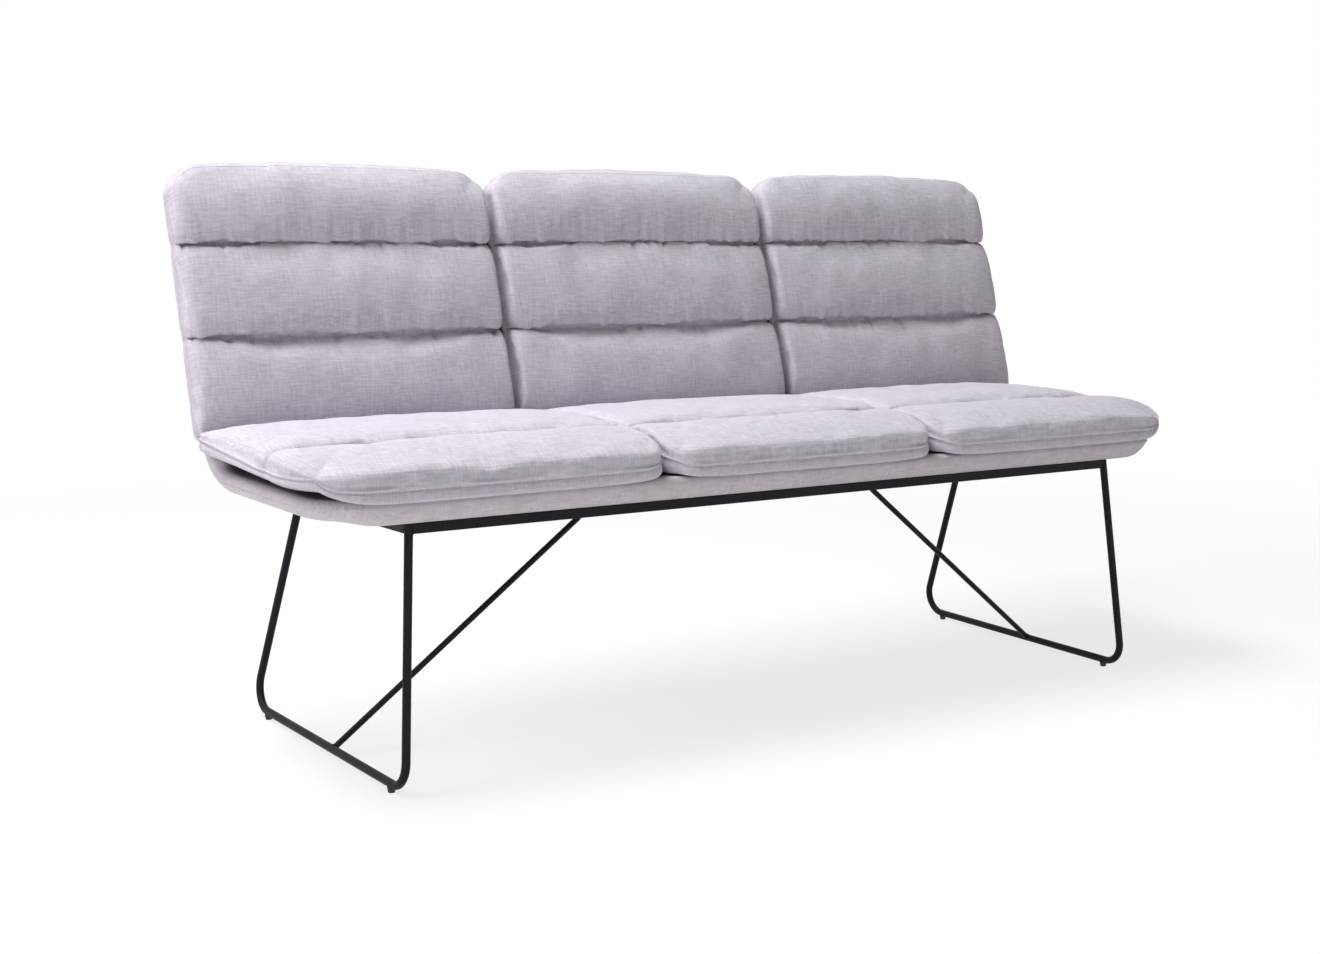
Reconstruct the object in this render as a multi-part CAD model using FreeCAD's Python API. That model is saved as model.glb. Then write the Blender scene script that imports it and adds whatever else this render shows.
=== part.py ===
import FreeCAD, Part
import math
import os

from FreeCAD import Placement, Rotation, Vector

# Free-standing three-seat dining banquette: a steel sled frame carries one bent,
# upholstered shell, and six channelled box pads lie on the shell.
# Millimetres. X runs along the bench, -Y is the sitter's side, Z = 0 is the floor.

# Overall arrangement
OVERALL_WIDTH = 1600.0          # over the outer sides of the back pads
PAD_COUNT = 3
PAD_GAP = 3.0                   # between neighbouring pads
SEAT_SIDE_SETBACK = 8.5         # the outer seat pads end this far inside the back pads
SEAT_MIDDLE_WIDTH = 488.0       # the middle seat pad is the narrow one
SEAT_TILT = 0.5                 # degrees, the seat falls towards the back
BACK_RECLINE = 17.2             # degrees from upright

# Sled legs, bent from round bar in one splayed plane on each side
ROD_DIAMETER = 12.0
ROD_BEND_RADIUS = 35.0          # at the centre line
LEG_SETBACK = 100.5             # floor bar's centre line inside the shell's end, at Y = 0
SLED_TOE = 1.98                 # degrees, the floor bars spread towards the back
SLED_SPLAY = 4.5                # degrees, the legs lean inwards going up
FRONT_FOOT_Y = -264.0           # where the front leg would meet the floor bar
FRONT_LEG_LEAN = 5.5            # degrees, leaning back going up
REAR_LEG_RAKE = 22.5            # degrees, leaning forward going up

# Deck of rails under the shell
FRAME_TOP = 364.5               # top of the front rail
RAIL_SPACING = 362.1            # front rail to rear rail, along the deck
RAIL_HEIGHT = 15.0
RAIL_DEPTH = 10.0
RAIL_WALL = 1.5
RAIL_CORNER = 2.0
CROSS_BAR_HALF_SPREAD = 276.0
SLOPE_PASSES = 6                # steps that settle a leg's crossing with the sloping deck

# Braces from the floor bars up to the cross bars
BRACE_DIAMETER = 9.0
BRACE_FOOT_Y = -27.0
BRACE_HEAD_Y = -54.0
BRACE_BEND_DROP = 42.0          # below the frame top, where the brace turns upright
BRACE_BEND_RADIUS = 22.0

# Glides under the floor bars
GLIDE_HEIGHT = 5.8              # floor to the underside of the bar
GLIDE_FOOT_DIAMETER = 9.5
GLIDE_TOP_DIAMETER = 12.0
GLIDE_INSET = 5.0               # from the end of the bend
GLIDE_SADDLE = 1.5              # the nub laps this far up the bar

# Shell: plywood with foam and cloth on both faces
SHELL_THICKNESS = 35.0
SHELL_SIDE_SETBACK = 27.0       # the shell ends this far inside the back pads
SHELL_SEAT_DEPTH = 443.0        # front edge to the inner corner
SHELL_BACK_LENGTH = 420.0       # inner corner to the top edge
SHELL_FRONT_OVERHANG = 31.0     # front edge ahead of the front rail
SHELL_BEND_RADIUS = 85.0        # inner face
SHELL_FRONT_CORNER = 105.0
SHELL_TOP_CORNER = 60.0
SHELL_UNDER_ROUND = 23.0        # rim rounding on the outer face
SHELL_TOP_BEVEL = 4.0           # rim bevel on the inner face
PLYWOOD_SETBACK = 10.0          # the plywood stops this far inside the soft rim
RIM_WALL_SHARE = 0.95           # most of a layer's edge that its rounding may take
CLOTH = 1.5
SHELL_FOAM = 10.0
PAD_CLEARANCE = 0.5             # soft pads stand this far off the shell

# Fixings between frame and shell
TAB_COUNT = 3                   # along each long rail
TAB_PITCH = 450.0
TAB_WIDTH = 34.0
TAB_LENGTH = 30.0
TAB_THICKNESS = 3.0
TAB_HOLE_OFFSET = 16.0          # from the side of the rail
BOLT_DIAMETER = 6.0
BOLT_TIP = 2.3                  # the bolt stands this far out of the plywood
BOLT_HEAD_DIAMETER = 10.5
BOLT_HEAD_HEIGHT = 3.3
BOLT_HEAD_CROWN = 6.0           # flat at the middle of the button head
HOLE_CLEARANCE = 0.5            # on the radius
WASHER_DIAMETER = 14.0
WASHER_THICKNESS = 1.2
TEE_NUT_BARREL = 8.0
TEE_NUT_LENGTH = 9.0
TEE_NUT_FLANGE = 19.0
TEE_NUT_FLANGE_THICKNESS = 1.5
FIT_CLEARANCE = 0.1

# Pads, each one a cloth cover with wadding round separate foam strips
STRIP_THICKNESS = 2.0           # touch-fastener strips under the pads
STRIP_WIDTH = 25.0
STRIP_LENGTH = 220.0
WADDING = 5.0
FOAM_CLEARANCE = 0.3
LEAST_EDGE = 15.0               # cover and foam together, at the front edge of a strip
FOAM_END_SHARE = 0.85           # the foam strips reach this share of the half width
STITCH_PINCH = 7.0              # foam kept clear of a sewn channel
LEAST_FLOOR = 5.0               # shortest stretch of a pad's underside beside its bend

SEAT_PAD_OVERHANG = 13.0        # the pads' front ahead of the shell's front edge
SEAT_PAD_STOP = 19.0            # the pads' rear edge ahead of the shell's inner corner
SEAT_CHANNEL = 148.0            # from the front
SEAT_FRONT_BOW = 6.0
SEAT_OUTER_CORNER = 100.0
SEAT_INNER_CORNER = 26.0
SEAT_REAR_CORNER = 18.0

BACK_PAD_RISE = 33.0            # lower edge above the inner corner, along the back
BACK_PAD_OVERTOP = 50.0         # upper edge above the shell's top edge
BACK_CHANNELS = (161.0, 308.0)  # from the lower edge
BACK_END_BOW = 5.0
BACK_TOP_CORNER = 58.0
BACK_LOWER_CORNER = 20.0

# A pad section at its middle and at its side. Heights are above the pad's fastener strips.
# bottom: underside at the first and last edge. seam: top of the side band there.
# channel: height of the sewn channels. swell: rise of each segment over its chord.
SEAT_MIDDLE = {"bottom": (0.0, 0.0), "seam": (8.0, 60.0), "channel": 54.0, "swell": (26.0, 11.0)}
SEAT_SIDE = {"bottom": (2.0, 26.0), "seam": (19.0, 46.0), "channel": 35.0, "swell": (9.0, 5.0)}
BACK_MIDDLE = {"bottom": (0.0, 0.0), "seam": (19.0, 17.0), "channel": 25.0, "swell": (22.0, 23.0, 26.0)}
BACK_SIDE = {"bottom": (4.0, 4.0), "seam": (19.0, 17.0), "channel": 18.0, "swell": (6.0, 7.0, 7.0)}
SIDE_RISE_START = 0.55          # share of the half width where the underside starts to lift
SIDE_FALL_POWER = 8             # a high power keeps the crown full until close to the sides
CROWN_STATIONS = (0.6,)         # shares of the half width between the middle and the corners
CORNER_ANGLES = (0.0, 30.0, 60.0, 90.0)
FOAM_STATIONS = (-1.0, 0.0, 1.0)
FOAM_SHOULDERS = (0.25, 0.75)   # where a foam strip's bevelled top reaches its full height
SEAT_STRIP_ROWS = (90.0, 250.0)  # fastener strips, from the front edge of the seat pads
BACK_STRIP_ROWS = (80.0, 305.0)  # and from the lower edge of the back pads


def radians(angle):
    return math.radians(angle)


def shell_width():
    return OVERALL_WIDTH - 2 * SHELL_SIDE_SETBACK


def seat_width():
    return OVERALL_WIDTH - 2 * SEAT_SIDE_SETBACK


def bar_height():
    return GLIDE_HEIGHT + ROD_DIAMETER / 2


def sled_point(y, z):
    """A point of the right-hand sled plane."""
    x = shell_width() / 2 - LEG_SETBACK + y * math.tan(radians(SLED_TOE))
    x -= (z - bar_height()) * math.tan(radians(SLED_SPLAY))
    return Vector(x, y, z)


def front_leg_y(z):
    return FRONT_FOOT_Y + (z - bar_height()) * math.tan(radians(FRONT_LEG_LEAN))


def rear_foot_y():
    """Where the rear leg would meet the floor bar, from its rake and the rear rail's place."""
    y = deck_origin().y + RAIL_SPACING * math.cos(radians(SEAT_TILT))
    z = deck_height(y) - RAIL_HEIGHT / 2
    return y + (z - bar_height()) * math.tan(radians(REAR_LEG_RAKE))


def rear_leg_y(z):
    return rear_foot_y() - (z - bar_height()) * math.tan(radians(REAR_LEG_RAKE))


def deck_origin():
    """Top of the front rail, in the middle of the bench."""
    return Vector(0, front_leg_y(FRAME_TOP - RAIL_HEIGHT / 2), FRAME_TOP)


def deck_placement():
    return Placement(deck_origin(), Rotation(Vector(1, 0, 0), -SEAT_TILT))


def deck_height(y):
    return FRAME_TOP - (y - deck_origin().y) * math.tan(radians(SEAT_TILT))


def shell_corner():
    """Inner corner of the shell, before the bend rounds it."""
    local = Vector(0, SHELL_SEAT_DEPTH - SHELL_FRONT_OVERHANG, SHELL_THICKNESS)
    return deck_placement().multVec(local)


def seat_placement(lift):
    """Frame of the seat pads: Y runs back from their front edge, Z stands on the shell."""
    local = Vector(0, -SHELL_FRONT_OVERHANG - SEAT_PAD_OVERHANG, SHELL_THICKNESS + lift)
    return Placement(deck_placement().multVec(local), Rotation(Vector(1, 0, 0), -SEAT_TILT))


def back_placement(lift):
    """Frame of the back pads: Y runs up from their lower edge, Z stands on the shell."""
    turn = Rotation(Vector(1, 0, 0), 90 - BACK_RECLINE)
    base = shell_corner() + turn.multVec(Vector(0, BACK_PAD_RISE, lift))
    return Placement(base, turn)


def placed(shape, placement):
    moved = shape.copy()
    moved.Placement = placement.multiply(moved.Placement)
    return moved


def line(a, b):
    return Part.LineSegment(a, b).toShape()


def arc(a, middle, b):
    return Part.Arc(a, middle, b).toShape()


def bowed(a, b, sagitta, away):
    """An arc from a to b that swells towards the direction away."""
    chord = b - a
    chord.normalize()
    side = away - chord * away.dot(chord)
    side.normalize()
    return arc(a, (a + b) * 0.5 + side * sagitta, b)


def rounded_path(points, radius):
    """Straight runs joined by tangent arcs."""
    edges = []
    start = points[0]
    for before, corner, after in zip(points, points[1:], points[2:]):
        back = (before - corner).normalize()
        ahead = (after - corner).normalize()
        half = back.getAngle(ahead) / 2
        reach = radius / math.tan(half)
        bisector = (back + ahead).normalize()
        middle = corner + bisector * (radius / math.sin(half) - radius)
        edges.append(line(start, corner + back * reach))
        edges.append(arc(corner + back * reach, middle, corner + ahead * reach))
        start = corner + ahead * reach
    edges.append(line(start, points[-1]))
    return Part.Wire(edges)


def round_bar(points, radius, diameter):
    path = rounded_path(points, radius)
    section = Part.Wire([Part.makeCircle(diameter / 2, points[0], points[1] - points[0])])
    return path.makePipeShell([section], True, False)


def cylinder(diameter, height, base, axis=Vector(0, 0, 1)):
    return Part.makeCylinder(diameter / 2, height, base, axis)


def mirrored(shape):
    return shape.mirror(Vector(0, 0, 0), Vector(1, 0, 0))


def above_deck():
    """A slab over the frame's top plane, used to cut the leg tops flush."""
    size = OVERALL_WIDTH
    slab = Part.makeBox(2 * size, 2 * size, size, Vector(-size, -size, 0))
    return placed(slab, deck_placement())


def glide_points():
    """Centres of the front and rear glide on the right-hand floor bar, at floor level."""
    front_turn = radians(90 + FRONT_LEG_LEAN)
    rear_turn = radians(90 + REAR_LEG_RAKE)
    front_y = FRONT_FOOT_Y + ROD_BEND_RADIUS * math.tan(front_turn / 2) + GLIDE_INSET
    rear_y = rear_foot_y() - ROD_BEND_RADIUS * math.tan(rear_turn / 2) - GLIDE_INSET
    points = []
    for y in (front_y, rear_y):
        bar = sled_point(y, bar_height())
        points.append(Vector(bar.x, bar.y, 0))
    return points


def sled_bar():
    """The right-hand leg, bent from one bar and cut flush with the deck."""
    top = FRAME_TOP + ROD_DIAMETER
    points = [
        sled_point(front_leg_y(top), top),
        sled_point(FRONT_FOOT_Y, bar_height()),
        sled_point(rear_foot_y(), bar_height()),
        sled_point(rear_leg_y(top), top),
    ]
    return round_bar(points, ROD_BEND_RADIUS, ROD_DIAMETER).cut(above_deck())


def glide(point, bar):
    """A tapered nub saddled to the underside of the bar."""
    top = GLIDE_HEIGHT + GLIDE_SADDLE
    return Part.makeCone(GLIDE_FOOT_DIAMETER / 2, GLIDE_TOP_DIAMETER / 2, top, point).cut(bar)


def rail_tube(start, end):
    """A rectangular tube in deck coordinates, its top face on the deck plane."""
    along = end - start
    length = along.Length
    outer = Part.makeBox(RAIL_DEPTH, RAIL_HEIGHT, length)
    outer = outer.makeFillet(RAIL_CORNER, [e for e in outer.Edges if abs(e.Length - length) < 1e-6])
    bore_size = (RAIL_DEPTH - 2 * RAIL_WALL, RAIL_HEIGHT - 2 * RAIL_WALL)
    bore = Part.makeBox(bore_size[0], bore_size[1], length, Vector(RAIL_WALL, RAIL_WALL, 0))
    tube = outer.cut(bore)
    tube.translate(Vector(-RAIL_DEPTH / 2, -RAIL_HEIGHT, 0))
    side = Vector(0, 0, 1).cross(along).negative()
    turn = Rotation(side, Vector(0, 0, 1), along, "ZYX")
    return placed(placed(tube, Placement(start, turn)), deck_placement())


def leg_top_on_deck(leg_y):
    """Deck coordinates of the right-hand leg's centre, half way down the rail."""
    z = FRAME_TOP - RAIL_HEIGHT / 2
    for _ in range(SLOPE_PASSES):
        z = deck_height(leg_y(z)) - RAIL_HEIGHT / 2
    local = deck_placement().inverse().multVec(sled_point(leg_y(z), z))
    return Vector(local.x, local.y, 0)


def deck_rails(bars):
    """The two long rails and the two end bars, coped to the legs."""
    front = leg_top_on_deck(front_leg_y)
    rear = leg_top_on_deck(rear_leg_y)

    def flipped(point):
        return Vector(-point.x, point.y, point.z)

    rails = {
        "front_rail": rail_tube(flipped(front), front),
        "rear_rail": rail_tube(flipped(rear), rear),
        "right_end_bar": rail_tube(front, rear),
    }
    for bar in bars:
        for name in rails:
            rails[name] = rails[name].cut(bar)
    envelope = Part.makeBox(4 * OVERALL_WIDTH, RAIL_DEPTH, RAIL_HEIGHT)
    for rail in (front, rear):
        block = envelope.copy()
        block.translate(Vector(-2 * OVERALL_WIDTH, rail.y - RAIL_DEPTH / 2, -RAIL_HEIGHT))
        rails["right_end_bar"] = rails["right_end_bar"].cut(placed(block, deck_placement()))
    rails["right_end_bar"] = largest(rails["right_end_bar"])
    for name in ("front_rail", "rear_rail"):
        rails[name] = largest(rails[name])
    rails["left_end_bar"] = mirrored(rails["right_end_bar"])
    return rails


def largest(shape):
    return max(shape.Solids, key=lambda solid: solid.Volume)


def cross_bar():
    gap = RAIL_DEPTH / 2
    start = Vector(CROSS_BAR_HALF_SPREAD, gap, 0)
    end = Vector(CROSS_BAR_HALF_SPREAD, RAIL_SPACING - gap, 0)
    return rail_tube(start, end)


def brace(bar):
    """A thin rod from the floor bar, turned upright under the cross bar."""
    foot = sled_point(BRACE_FOOT_Y, bar_height())
    under_bar = deck_height(BRACE_HEAD_Y) - RAIL_HEIGHT / math.cos(radians(SEAT_TILT))
    bend = Vector(CROSS_BAR_HALF_SPREAD, BRACE_HEAD_Y, FRAME_TOP - BRACE_BEND_DROP)
    head = Vector(CROSS_BAR_HALF_SPREAD, BRACE_HEAD_Y, under_bar + BRACE_DIAMETER)
    rod = round_bar([foot, bend, head], BRACE_BEND_RADIUS, BRACE_DIAMETER)
    cap = above_deck()
    cap.translate(Vector(0, 0, -RAIL_HEIGHT / math.cos(radians(SEAT_TILT))))
    return largest(rod.cut(bar).cut(cap))


def tab_points():
    """Bolt centres in deck coordinates, with the side of the rail that the tab is on."""
    points = []
    for row, rail_y in ((1, 0.0), (-1, RAIL_SPACING)):
        for index in range(TAB_COUNT):
            x = (index - (TAB_COUNT - 1) / 2) * TAB_PITCH
            y = rail_y + row * (RAIL_DEPTH / 2 + TAB_HOLE_OFFSET)
            points.append((Vector(x, y, 0), row))
    return points


def mounting_tabs():
    tabs = []
    hole = BOLT_DIAMETER + 2 * HOLE_CLEARANCE
    for point, row in tab_points():
        near = point.y - row * TAB_HOLE_OFFSET
        far = near + row * TAB_LENGTH
        base = Vector(point.x - TAB_WIDTH / 2, min(near, far), -TAB_THICKNESS)
        plate = Part.makeBox(TAB_WIDTH, TAB_LENGTH, TAB_THICKNESS, base)
        upright = [e for e in plate.Edges if abs(e.Length - TAB_THICKNESS) < 1e-6]
        corners = [e for e in upright if abs(e.CenterOfMass.y - far) < 1e-6]
        plate = plate.makeChamfer(TAB_WIDTH / 4, corners)
        tabs.append(plate.cut(cylinder(hole, TAB_THICKNESS, point - Vector(0, 0, TAB_THICKNESS))))
    return placed(Part.makeCompound(tabs), deck_placement())


def bolt():
    """Button-head bolt in deck coordinates, its head below the washer."""
    seat = -TAB_THICKNESS - WASHER_THICKNESS
    shank = cylinder(BOLT_DIAMETER, plywood_levels()[1] + BOLT_TIP - seat, Vector(0, 0, seat))
    crown = Vector(0, 0, seat - BOLT_HEAD_HEIGHT)
    head = Part.makeCone(BOLT_HEAD_CROWN / 2, BOLT_HEAD_DIAMETER / 2, BOLT_HEAD_HEIGHT, crown)
    return shank.fuse(head).removeSplitter()


def washer():
    base = Vector(0, 0, -TAB_THICKNESS - WASHER_THICKNESS)
    disc = cylinder(WASHER_DIAMETER, WASHER_THICKNESS, base)
    return disc.cut(cylinder(BOLT_DIAMETER + 2 * FIT_CLEARANCE, WASHER_THICKNESS, base))


def plywood_levels():
    """Lower and upper face of the plywood above the deck plane."""
    skin = CLOTH + SHELL_FOAM
    return skin, SHELL_THICKNESS - skin


def tee_nut():
    top = plywood_levels()[1]
    barrel = cylinder(TEE_NUT_BARREL, TEE_NUT_LENGTH, Vector(0, 0, top - TEE_NUT_LENGTH))
    flange = cylinder(TEE_NUT_FLANGE, TEE_NUT_FLANGE_THICKNESS, Vector(0, 0, top))
    height = TEE_NUT_LENGTH + TEE_NUT_FLANGE_THICKNESS
    bore = cylinder(BOLT_DIAMETER + 2 * FIT_CLEARANCE, height, Vector(0, 0, top - TEE_NUT_LENGTH))
    return barrel.fuse(flange).cut(bore).removeSplitter()


def at_bolts(shape):
    """One copy of a fixing at each bolt, as a group."""
    copies = []
    for point, _ in tab_points():
        copy = shape.copy()
        copy.translate(point)
        copies.append(copy)
    return placed(Part.makeCompound(copies), deck_placement())


def fixing_holes():
    """What the fixings need cleared out of the shell's layers."""
    top = plywood_levels()[1]
    shank = cylinder(BOLT_DIAMETER + 2 * HOLE_CLEARANCE, top + BOLT_DIAMETER / 2, Vector(0, 0, 0))
    barrel_base = Vector(0, 0, top - TEE_NUT_LENGTH - FIT_CLEARANCE)
    barrel = cylinder(TEE_NUT_BARREL + 2 * FIT_CLEARANCE, TEE_NUT_LENGTH + FIT_CLEARANCE, barrel_base)
    recess_height = TEE_NUT_FLANGE_THICKNESS + HOLE_CLEARANCE
    recess = cylinder(TEE_NUT_FLANGE + 2 * HOLE_CLEARANCE, recess_height, Vector(0, 0, top))
    return at_bolts(shank.fuse(barrel).fuse(recess))


def shell_frame():
    """Directions along the seat and the back, and the normals of their inner faces."""
    tilt = radians(SEAT_TILT)
    recline = radians(BACK_RECLINE)
    rearward = Vector(0, math.cos(tilt), -math.sin(tilt))
    seat_up = Vector(0, math.sin(tilt), math.cos(tilt))
    upward = Vector(0, math.sin(recline), math.cos(recline))
    back_front = Vector(0, -math.cos(recline), math.sin(recline))
    return rearward, seat_up, upward, back_front


def shell_side_points(depth, inset):
    """Front tip, bend start, bend middle, bend end and top tip at a depth under the inner face."""
    rearward, seat_up, upward, back_front = shell_frame()
    corner = shell_corner()
    diagonal = (seat_up + back_front) * (1 / (1 + seat_up.dot(back_front)))
    centre = corner + diagonal * SHELL_BEND_RADIUS
    radius = SHELL_BEND_RADIUS + depth
    out = diagonal.negative()
    out.normalize()
    return [
        corner - rearward * (SHELL_SEAT_DEPTH - inset) - seat_up * depth,
        centre - seat_up * radius,
        centre + out * radius,
        centre - back_front * radius,
        corner + upward * (SHELL_BACK_LENGTH - inset) - back_front * depth,
    ]


def shell_side_face(low, high, inset):
    """Side profile of a layer between two depths, in the plane X = 0."""
    inner = shell_side_points(low, inset)
    outer = shell_side_points(high, inset)
    edges = [
        line(inner[0], inner[1]),
        arc(inner[1], inner[2], inner[3]),
        line(inner[3], inner[4]),
        line(inner[4], outer[4]),
        line(outer[4], outer[3]),
        arc(outer[3], outer[2], outer[1]),
        line(outer[1], outer[0]),
        line(outer[0], inner[0]),
    ]
    return Part.Face(Part.Wire(edges))


def shell_outward(point):
    """Direction out of the shell's outer face nearest to a point."""
    rearward, seat_up, upward, back_front = shell_frame()
    diagonal = (seat_up + back_front) * (1 / (1 + seat_up.dot(back_front)))
    centre = shell_corner() + diagonal * SHELL_BEND_RADIUS
    from_centre = Vector(0, point.y, point.z) - centre
    if from_centre.dot(rearward) < 0:
        return seat_up.negative()
    if from_centre.dot(upward) > 0:
        return back_front.negative()
    return from_centre.normalize()


def facing(face):
    """How far a face looks out of the shell's outer face: 1 outer, -1 inner, 0 at the rim."""
    u0, u1, v0, v1 = face.ParameterRange
    u, v = (u0 + u1) / 2, (v0 + v1) / 2
    return face.normalAt(u, v).dot(shell_outward(face.valueAt(u, v)))


def rim_edges(body, side):
    """Edges between the rim wall and the outer (1) or inner (-1) face."""
    edges = []
    for edge in body.Edges:
        looks = [facing(face) for face in body.ancestorsOfType(edge, Part.Face)]
        at_wall = any(abs(look) < 0.3 for look in looks)
        at_face = any(look * side > 0.8 for look in looks)
        if at_wall and at_face:
            edges.append(edge)
    return edges


def shell_board(inset, setback):
    """The shell drawn in by inset, with its rim set back further and its corners rounded."""
    edge = inset + setback
    half = shell_width() / 2 - edge
    face = shell_side_face(inset, SHELL_THICKNESS - inset, edge)
    face.translate(Vector(-half, 0, 0))
    body = face.extrude(Vector(2 * half, 0, 0))
    tips = shell_side_points(SHELL_THICKNESS / 2, edge)
    for tip, corner in ((tips[0], SHELL_FRONT_CORNER), (tips[4], SHELL_TOP_CORNER)):
        edges = []
        for candidate in body.Edges:
            middle = candidate.CenterOfMass
            if abs(middle.x) > half / 2 and (Vector(0, middle.y, middle.z) - tip).Length < 1e-3:
                edges.append(candidate)
        body = body.makeFillet(corner - edge, edges)
    return body


def shell_envelope(inset):
    """The soft outline of the shell drawn in by inset, with its rim rounded over."""
    body = shell_board(inset, 0.0)
    wall = SHELL_THICKNESS - 2 * inset
    under = min(SHELL_UNDER_ROUND - inset, RIM_WALL_SHARE * (wall - SHELL_TOP_BEVEL))
    body = body.makeFillet(under, rim_edges(body, 1))
    return body.makeChamfer(SHELL_TOP_BEVEL, rim_edges(body, -1))


def shell_half(low, high):
    """A slab that splits the shell between two depths, longer and wider than the shell."""
    face = shell_side_face(low, high, -SHELL_THICKNESS)
    face.translate(Vector(-shell_width(), 0, 0))
    return face.extrude(Vector(2 * shell_width(), 0, 0))


def shell_layers():
    """Plywood, and the foam and cloth of both faces, which meet level with its inner face."""
    seam = CLOTH + SHELL_FOAM
    inner_side = shell_half(-SHELL_THICKNESS, seam)
    outer_side = shell_half(seam, 2 * SHELL_THICKNESS)
    skin = shell_envelope(0.0)
    padding = shell_envelope(CLOTH)
    plywood = shell_board(seam, PLYWOOD_SETBACK)
    holes = fixing_holes()
    cover = skin.cut(padding)
    foam = padding.cut(plywood)
    return {
        "shell_plywood": plywood.cut(holes),
        "shell_inner_foam": foam.common(inner_side).cut(holes),
        "shell_outer_foam": foam.common(outer_side).cut(holes),
        "shell_inner_cover": cover.common(inner_side),
        "shell_outer_cover": cover.common(outer_side).cut(holes),
    }


def blend(middle, side, share):
    return middle + (side - middle) * share


def bend_reach():
    """Length of the bend's tangent, from the inner corner."""
    rearward, _, upward, _ = shell_frame()
    return SHELL_BEND_RADIUS * math.tan(rearward.getAngle(upward) / 2)


def bend_rise(distance):
    """How far a pad's underside is lifted by the bend, at a distance from the inner corner."""
    into = bend_reach() - distance
    if into <= 0:
        return 0.0
    rise = SHELL_BEND_RADIUS - math.sqrt(SHELL_BEND_RADIUS ** 2 - into ** 2)
    return max(0.0, rise + PAD_CLEARANCE - STRIP_THICKNESS)


def corner_inset(distance, radius):
    """How far a round corner draws an edge in, at a distance from the pad's side."""
    if distance >= radius:
        return 0.0
    return radius - math.sqrt(radius ** 2 - (radius - distance) ** 2)


def pad_ends(form, width, corners, x):
    """First and last edge of a pad's section, with its corners and bowed ends."""
    side = 0 if x < 0 else 1
    distance = width / 2 - abs(x)
    bow = form["end_bow"] * (2 * x / width) ** 2
    first = bow + corner_inset(distance, corners[side])
    return first, form["length"] - bow - corner_inset(distance, corners[2 + side])


def pad_floor(form, share, along):
    """Height of a pad's underside, level in its middle and lifted towards its sides."""
    lift = max(0.0, (share - SIDE_RISE_START) / (1 - SIDE_RISE_START)) ** 2
    ends = [blend(m, s, lift) for m, s in zip(form["middle"]["bottom"], form["side"]["bottom"])]
    origin, direction = form["bend"]
    return max(blend(ends[0], ends[1], along / form["length"]), bend_rise(origin + direction * along))


def pad_crown(form, share):
    """Heights of the first seam, the channels and the last seam, and the segments' swells."""
    fall = share ** SIDE_FALL_POWER
    middle, side = form["middle"], form["side"]
    seam = [blend(m, s, fall) for m, s in zip(middle["seam"], side["seam"])]
    channel = blend(middle["channel"], side["channel"], fall)
    swell = [blend(m, s, fall) for m, s in zip(middle["swell"], side["swell"])]
    return [seam[0]] + [channel] * len(form["channels"]) + [seam[1]], swell


def pad_wire(form, width, corners, x):
    """Section across a pad: underside, side bands and one swelling arc for each segment."""
    share = abs(2 * x / width)
    heights, swell = pad_crown(form, share)
    first, last = pad_ends(form, width, corners, x)
    origin, direction = form["bend"]
    knee = (bend_reach() - origin) / direction
    knee = min(max(knee, first + LEAST_FLOOR), last - LEAST_FLOOR)
    floor = [Vector(x, y, pad_floor(form, share, y)) for y in (first, knee, last)]
    marks = [first] + list(form["channels"]) + [last]
    tops = [Vector(x, y, z) for y, z in zip(marks, heights)]
    edges = [line(floor[0], tops[0])]
    for a, b, rise in zip(tops, tops[1:], swell):
        edges.append(bowed(a, b, rise, Vector(0, 0, 1)))
    edges.append(line(tops[-1], floor[2]))
    edges.append(line(floor[2], floor[1]))
    edges.append(line(floor[1], floor[0]))
    return Part.Wire(edges)


def pad_stations(width, corners):
    """Where a pad's sections lie: across its crown, and round its corners on each side."""
    half = width / 2
    stations = [0.0]
    for side, sign in ((0, -1), (1, 1)):
        radius = max(corners[side], corners[2 + side])
        flat = half - radius
        stations += [sign * share * half for share in CROWN_STATIONS if share * half < flat]
        stations += [sign * (flat + radius * math.sin(radians(angle))) for angle in CORNER_ANGLES]
    return sorted(stations)


def pad_body(form, width, corners):
    sections = [pad_wire(form, width, corners, x) for x in pad_stations(width, corners)]
    return Part.makeLoft(sections, True, True)


def foam_strip(form, width, corners, index, inset):
    """The foam in one segment, kept inside the cover's wadding and off the sewn channels."""
    half = width / 2 * FOAM_END_SHARE + (WADDING - inset)
    keep_off = inset + STITCH_PINCH
    wires = []
    for station in FOAM_STATIONS:
        x = station * half
        share = abs(2 * x / width)
        heights, swell = pad_crown(form, share)
        first, last = pad_ends(form, width, corners, x)
        marks = [first] + list(form["channels"]) + [last]
        start, stop = marks[index] + keep_off, marks[index + 1] - keep_off
        low = []
        top = []
        for y, height in zip((start, stop), heights[index:]):
            floor = pad_floor(form, share, y)
            low.append(Vector(x, y, floor + inset))
            top.append(Vector(x, y, max(height, floor + LEAST_EDGE) - inset))
        shoulders = []
        for part in FOAM_SHOULDERS:
            rise = 4 * part * (1 - part) * swell[index]
            shoulders.append(top[0] + (top[1] - top[0]) * part + Vector(0, 0, rise - inset))
        wires.append(Part.makePolygon([low[0], top[0]] + shoulders + [top[1], low[1], low[0]]))
    return Part.makeLoft(wires, True, True)


def pad(form, width, corners):
    """Cover and foam of one pad in its own frame."""
    cover = pad_body(form, width, corners)
    strips = []
    for index in range(len(form["channels"]) + 1):
        cover = cover.cut(foam_strip(form, width, corners, index, WADDING - FOAM_CLEARANCE))
        strips.append(foam_strip(form, width, corners, index, WADDING))
    return cover, Part.makeCompound(strips)


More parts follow.
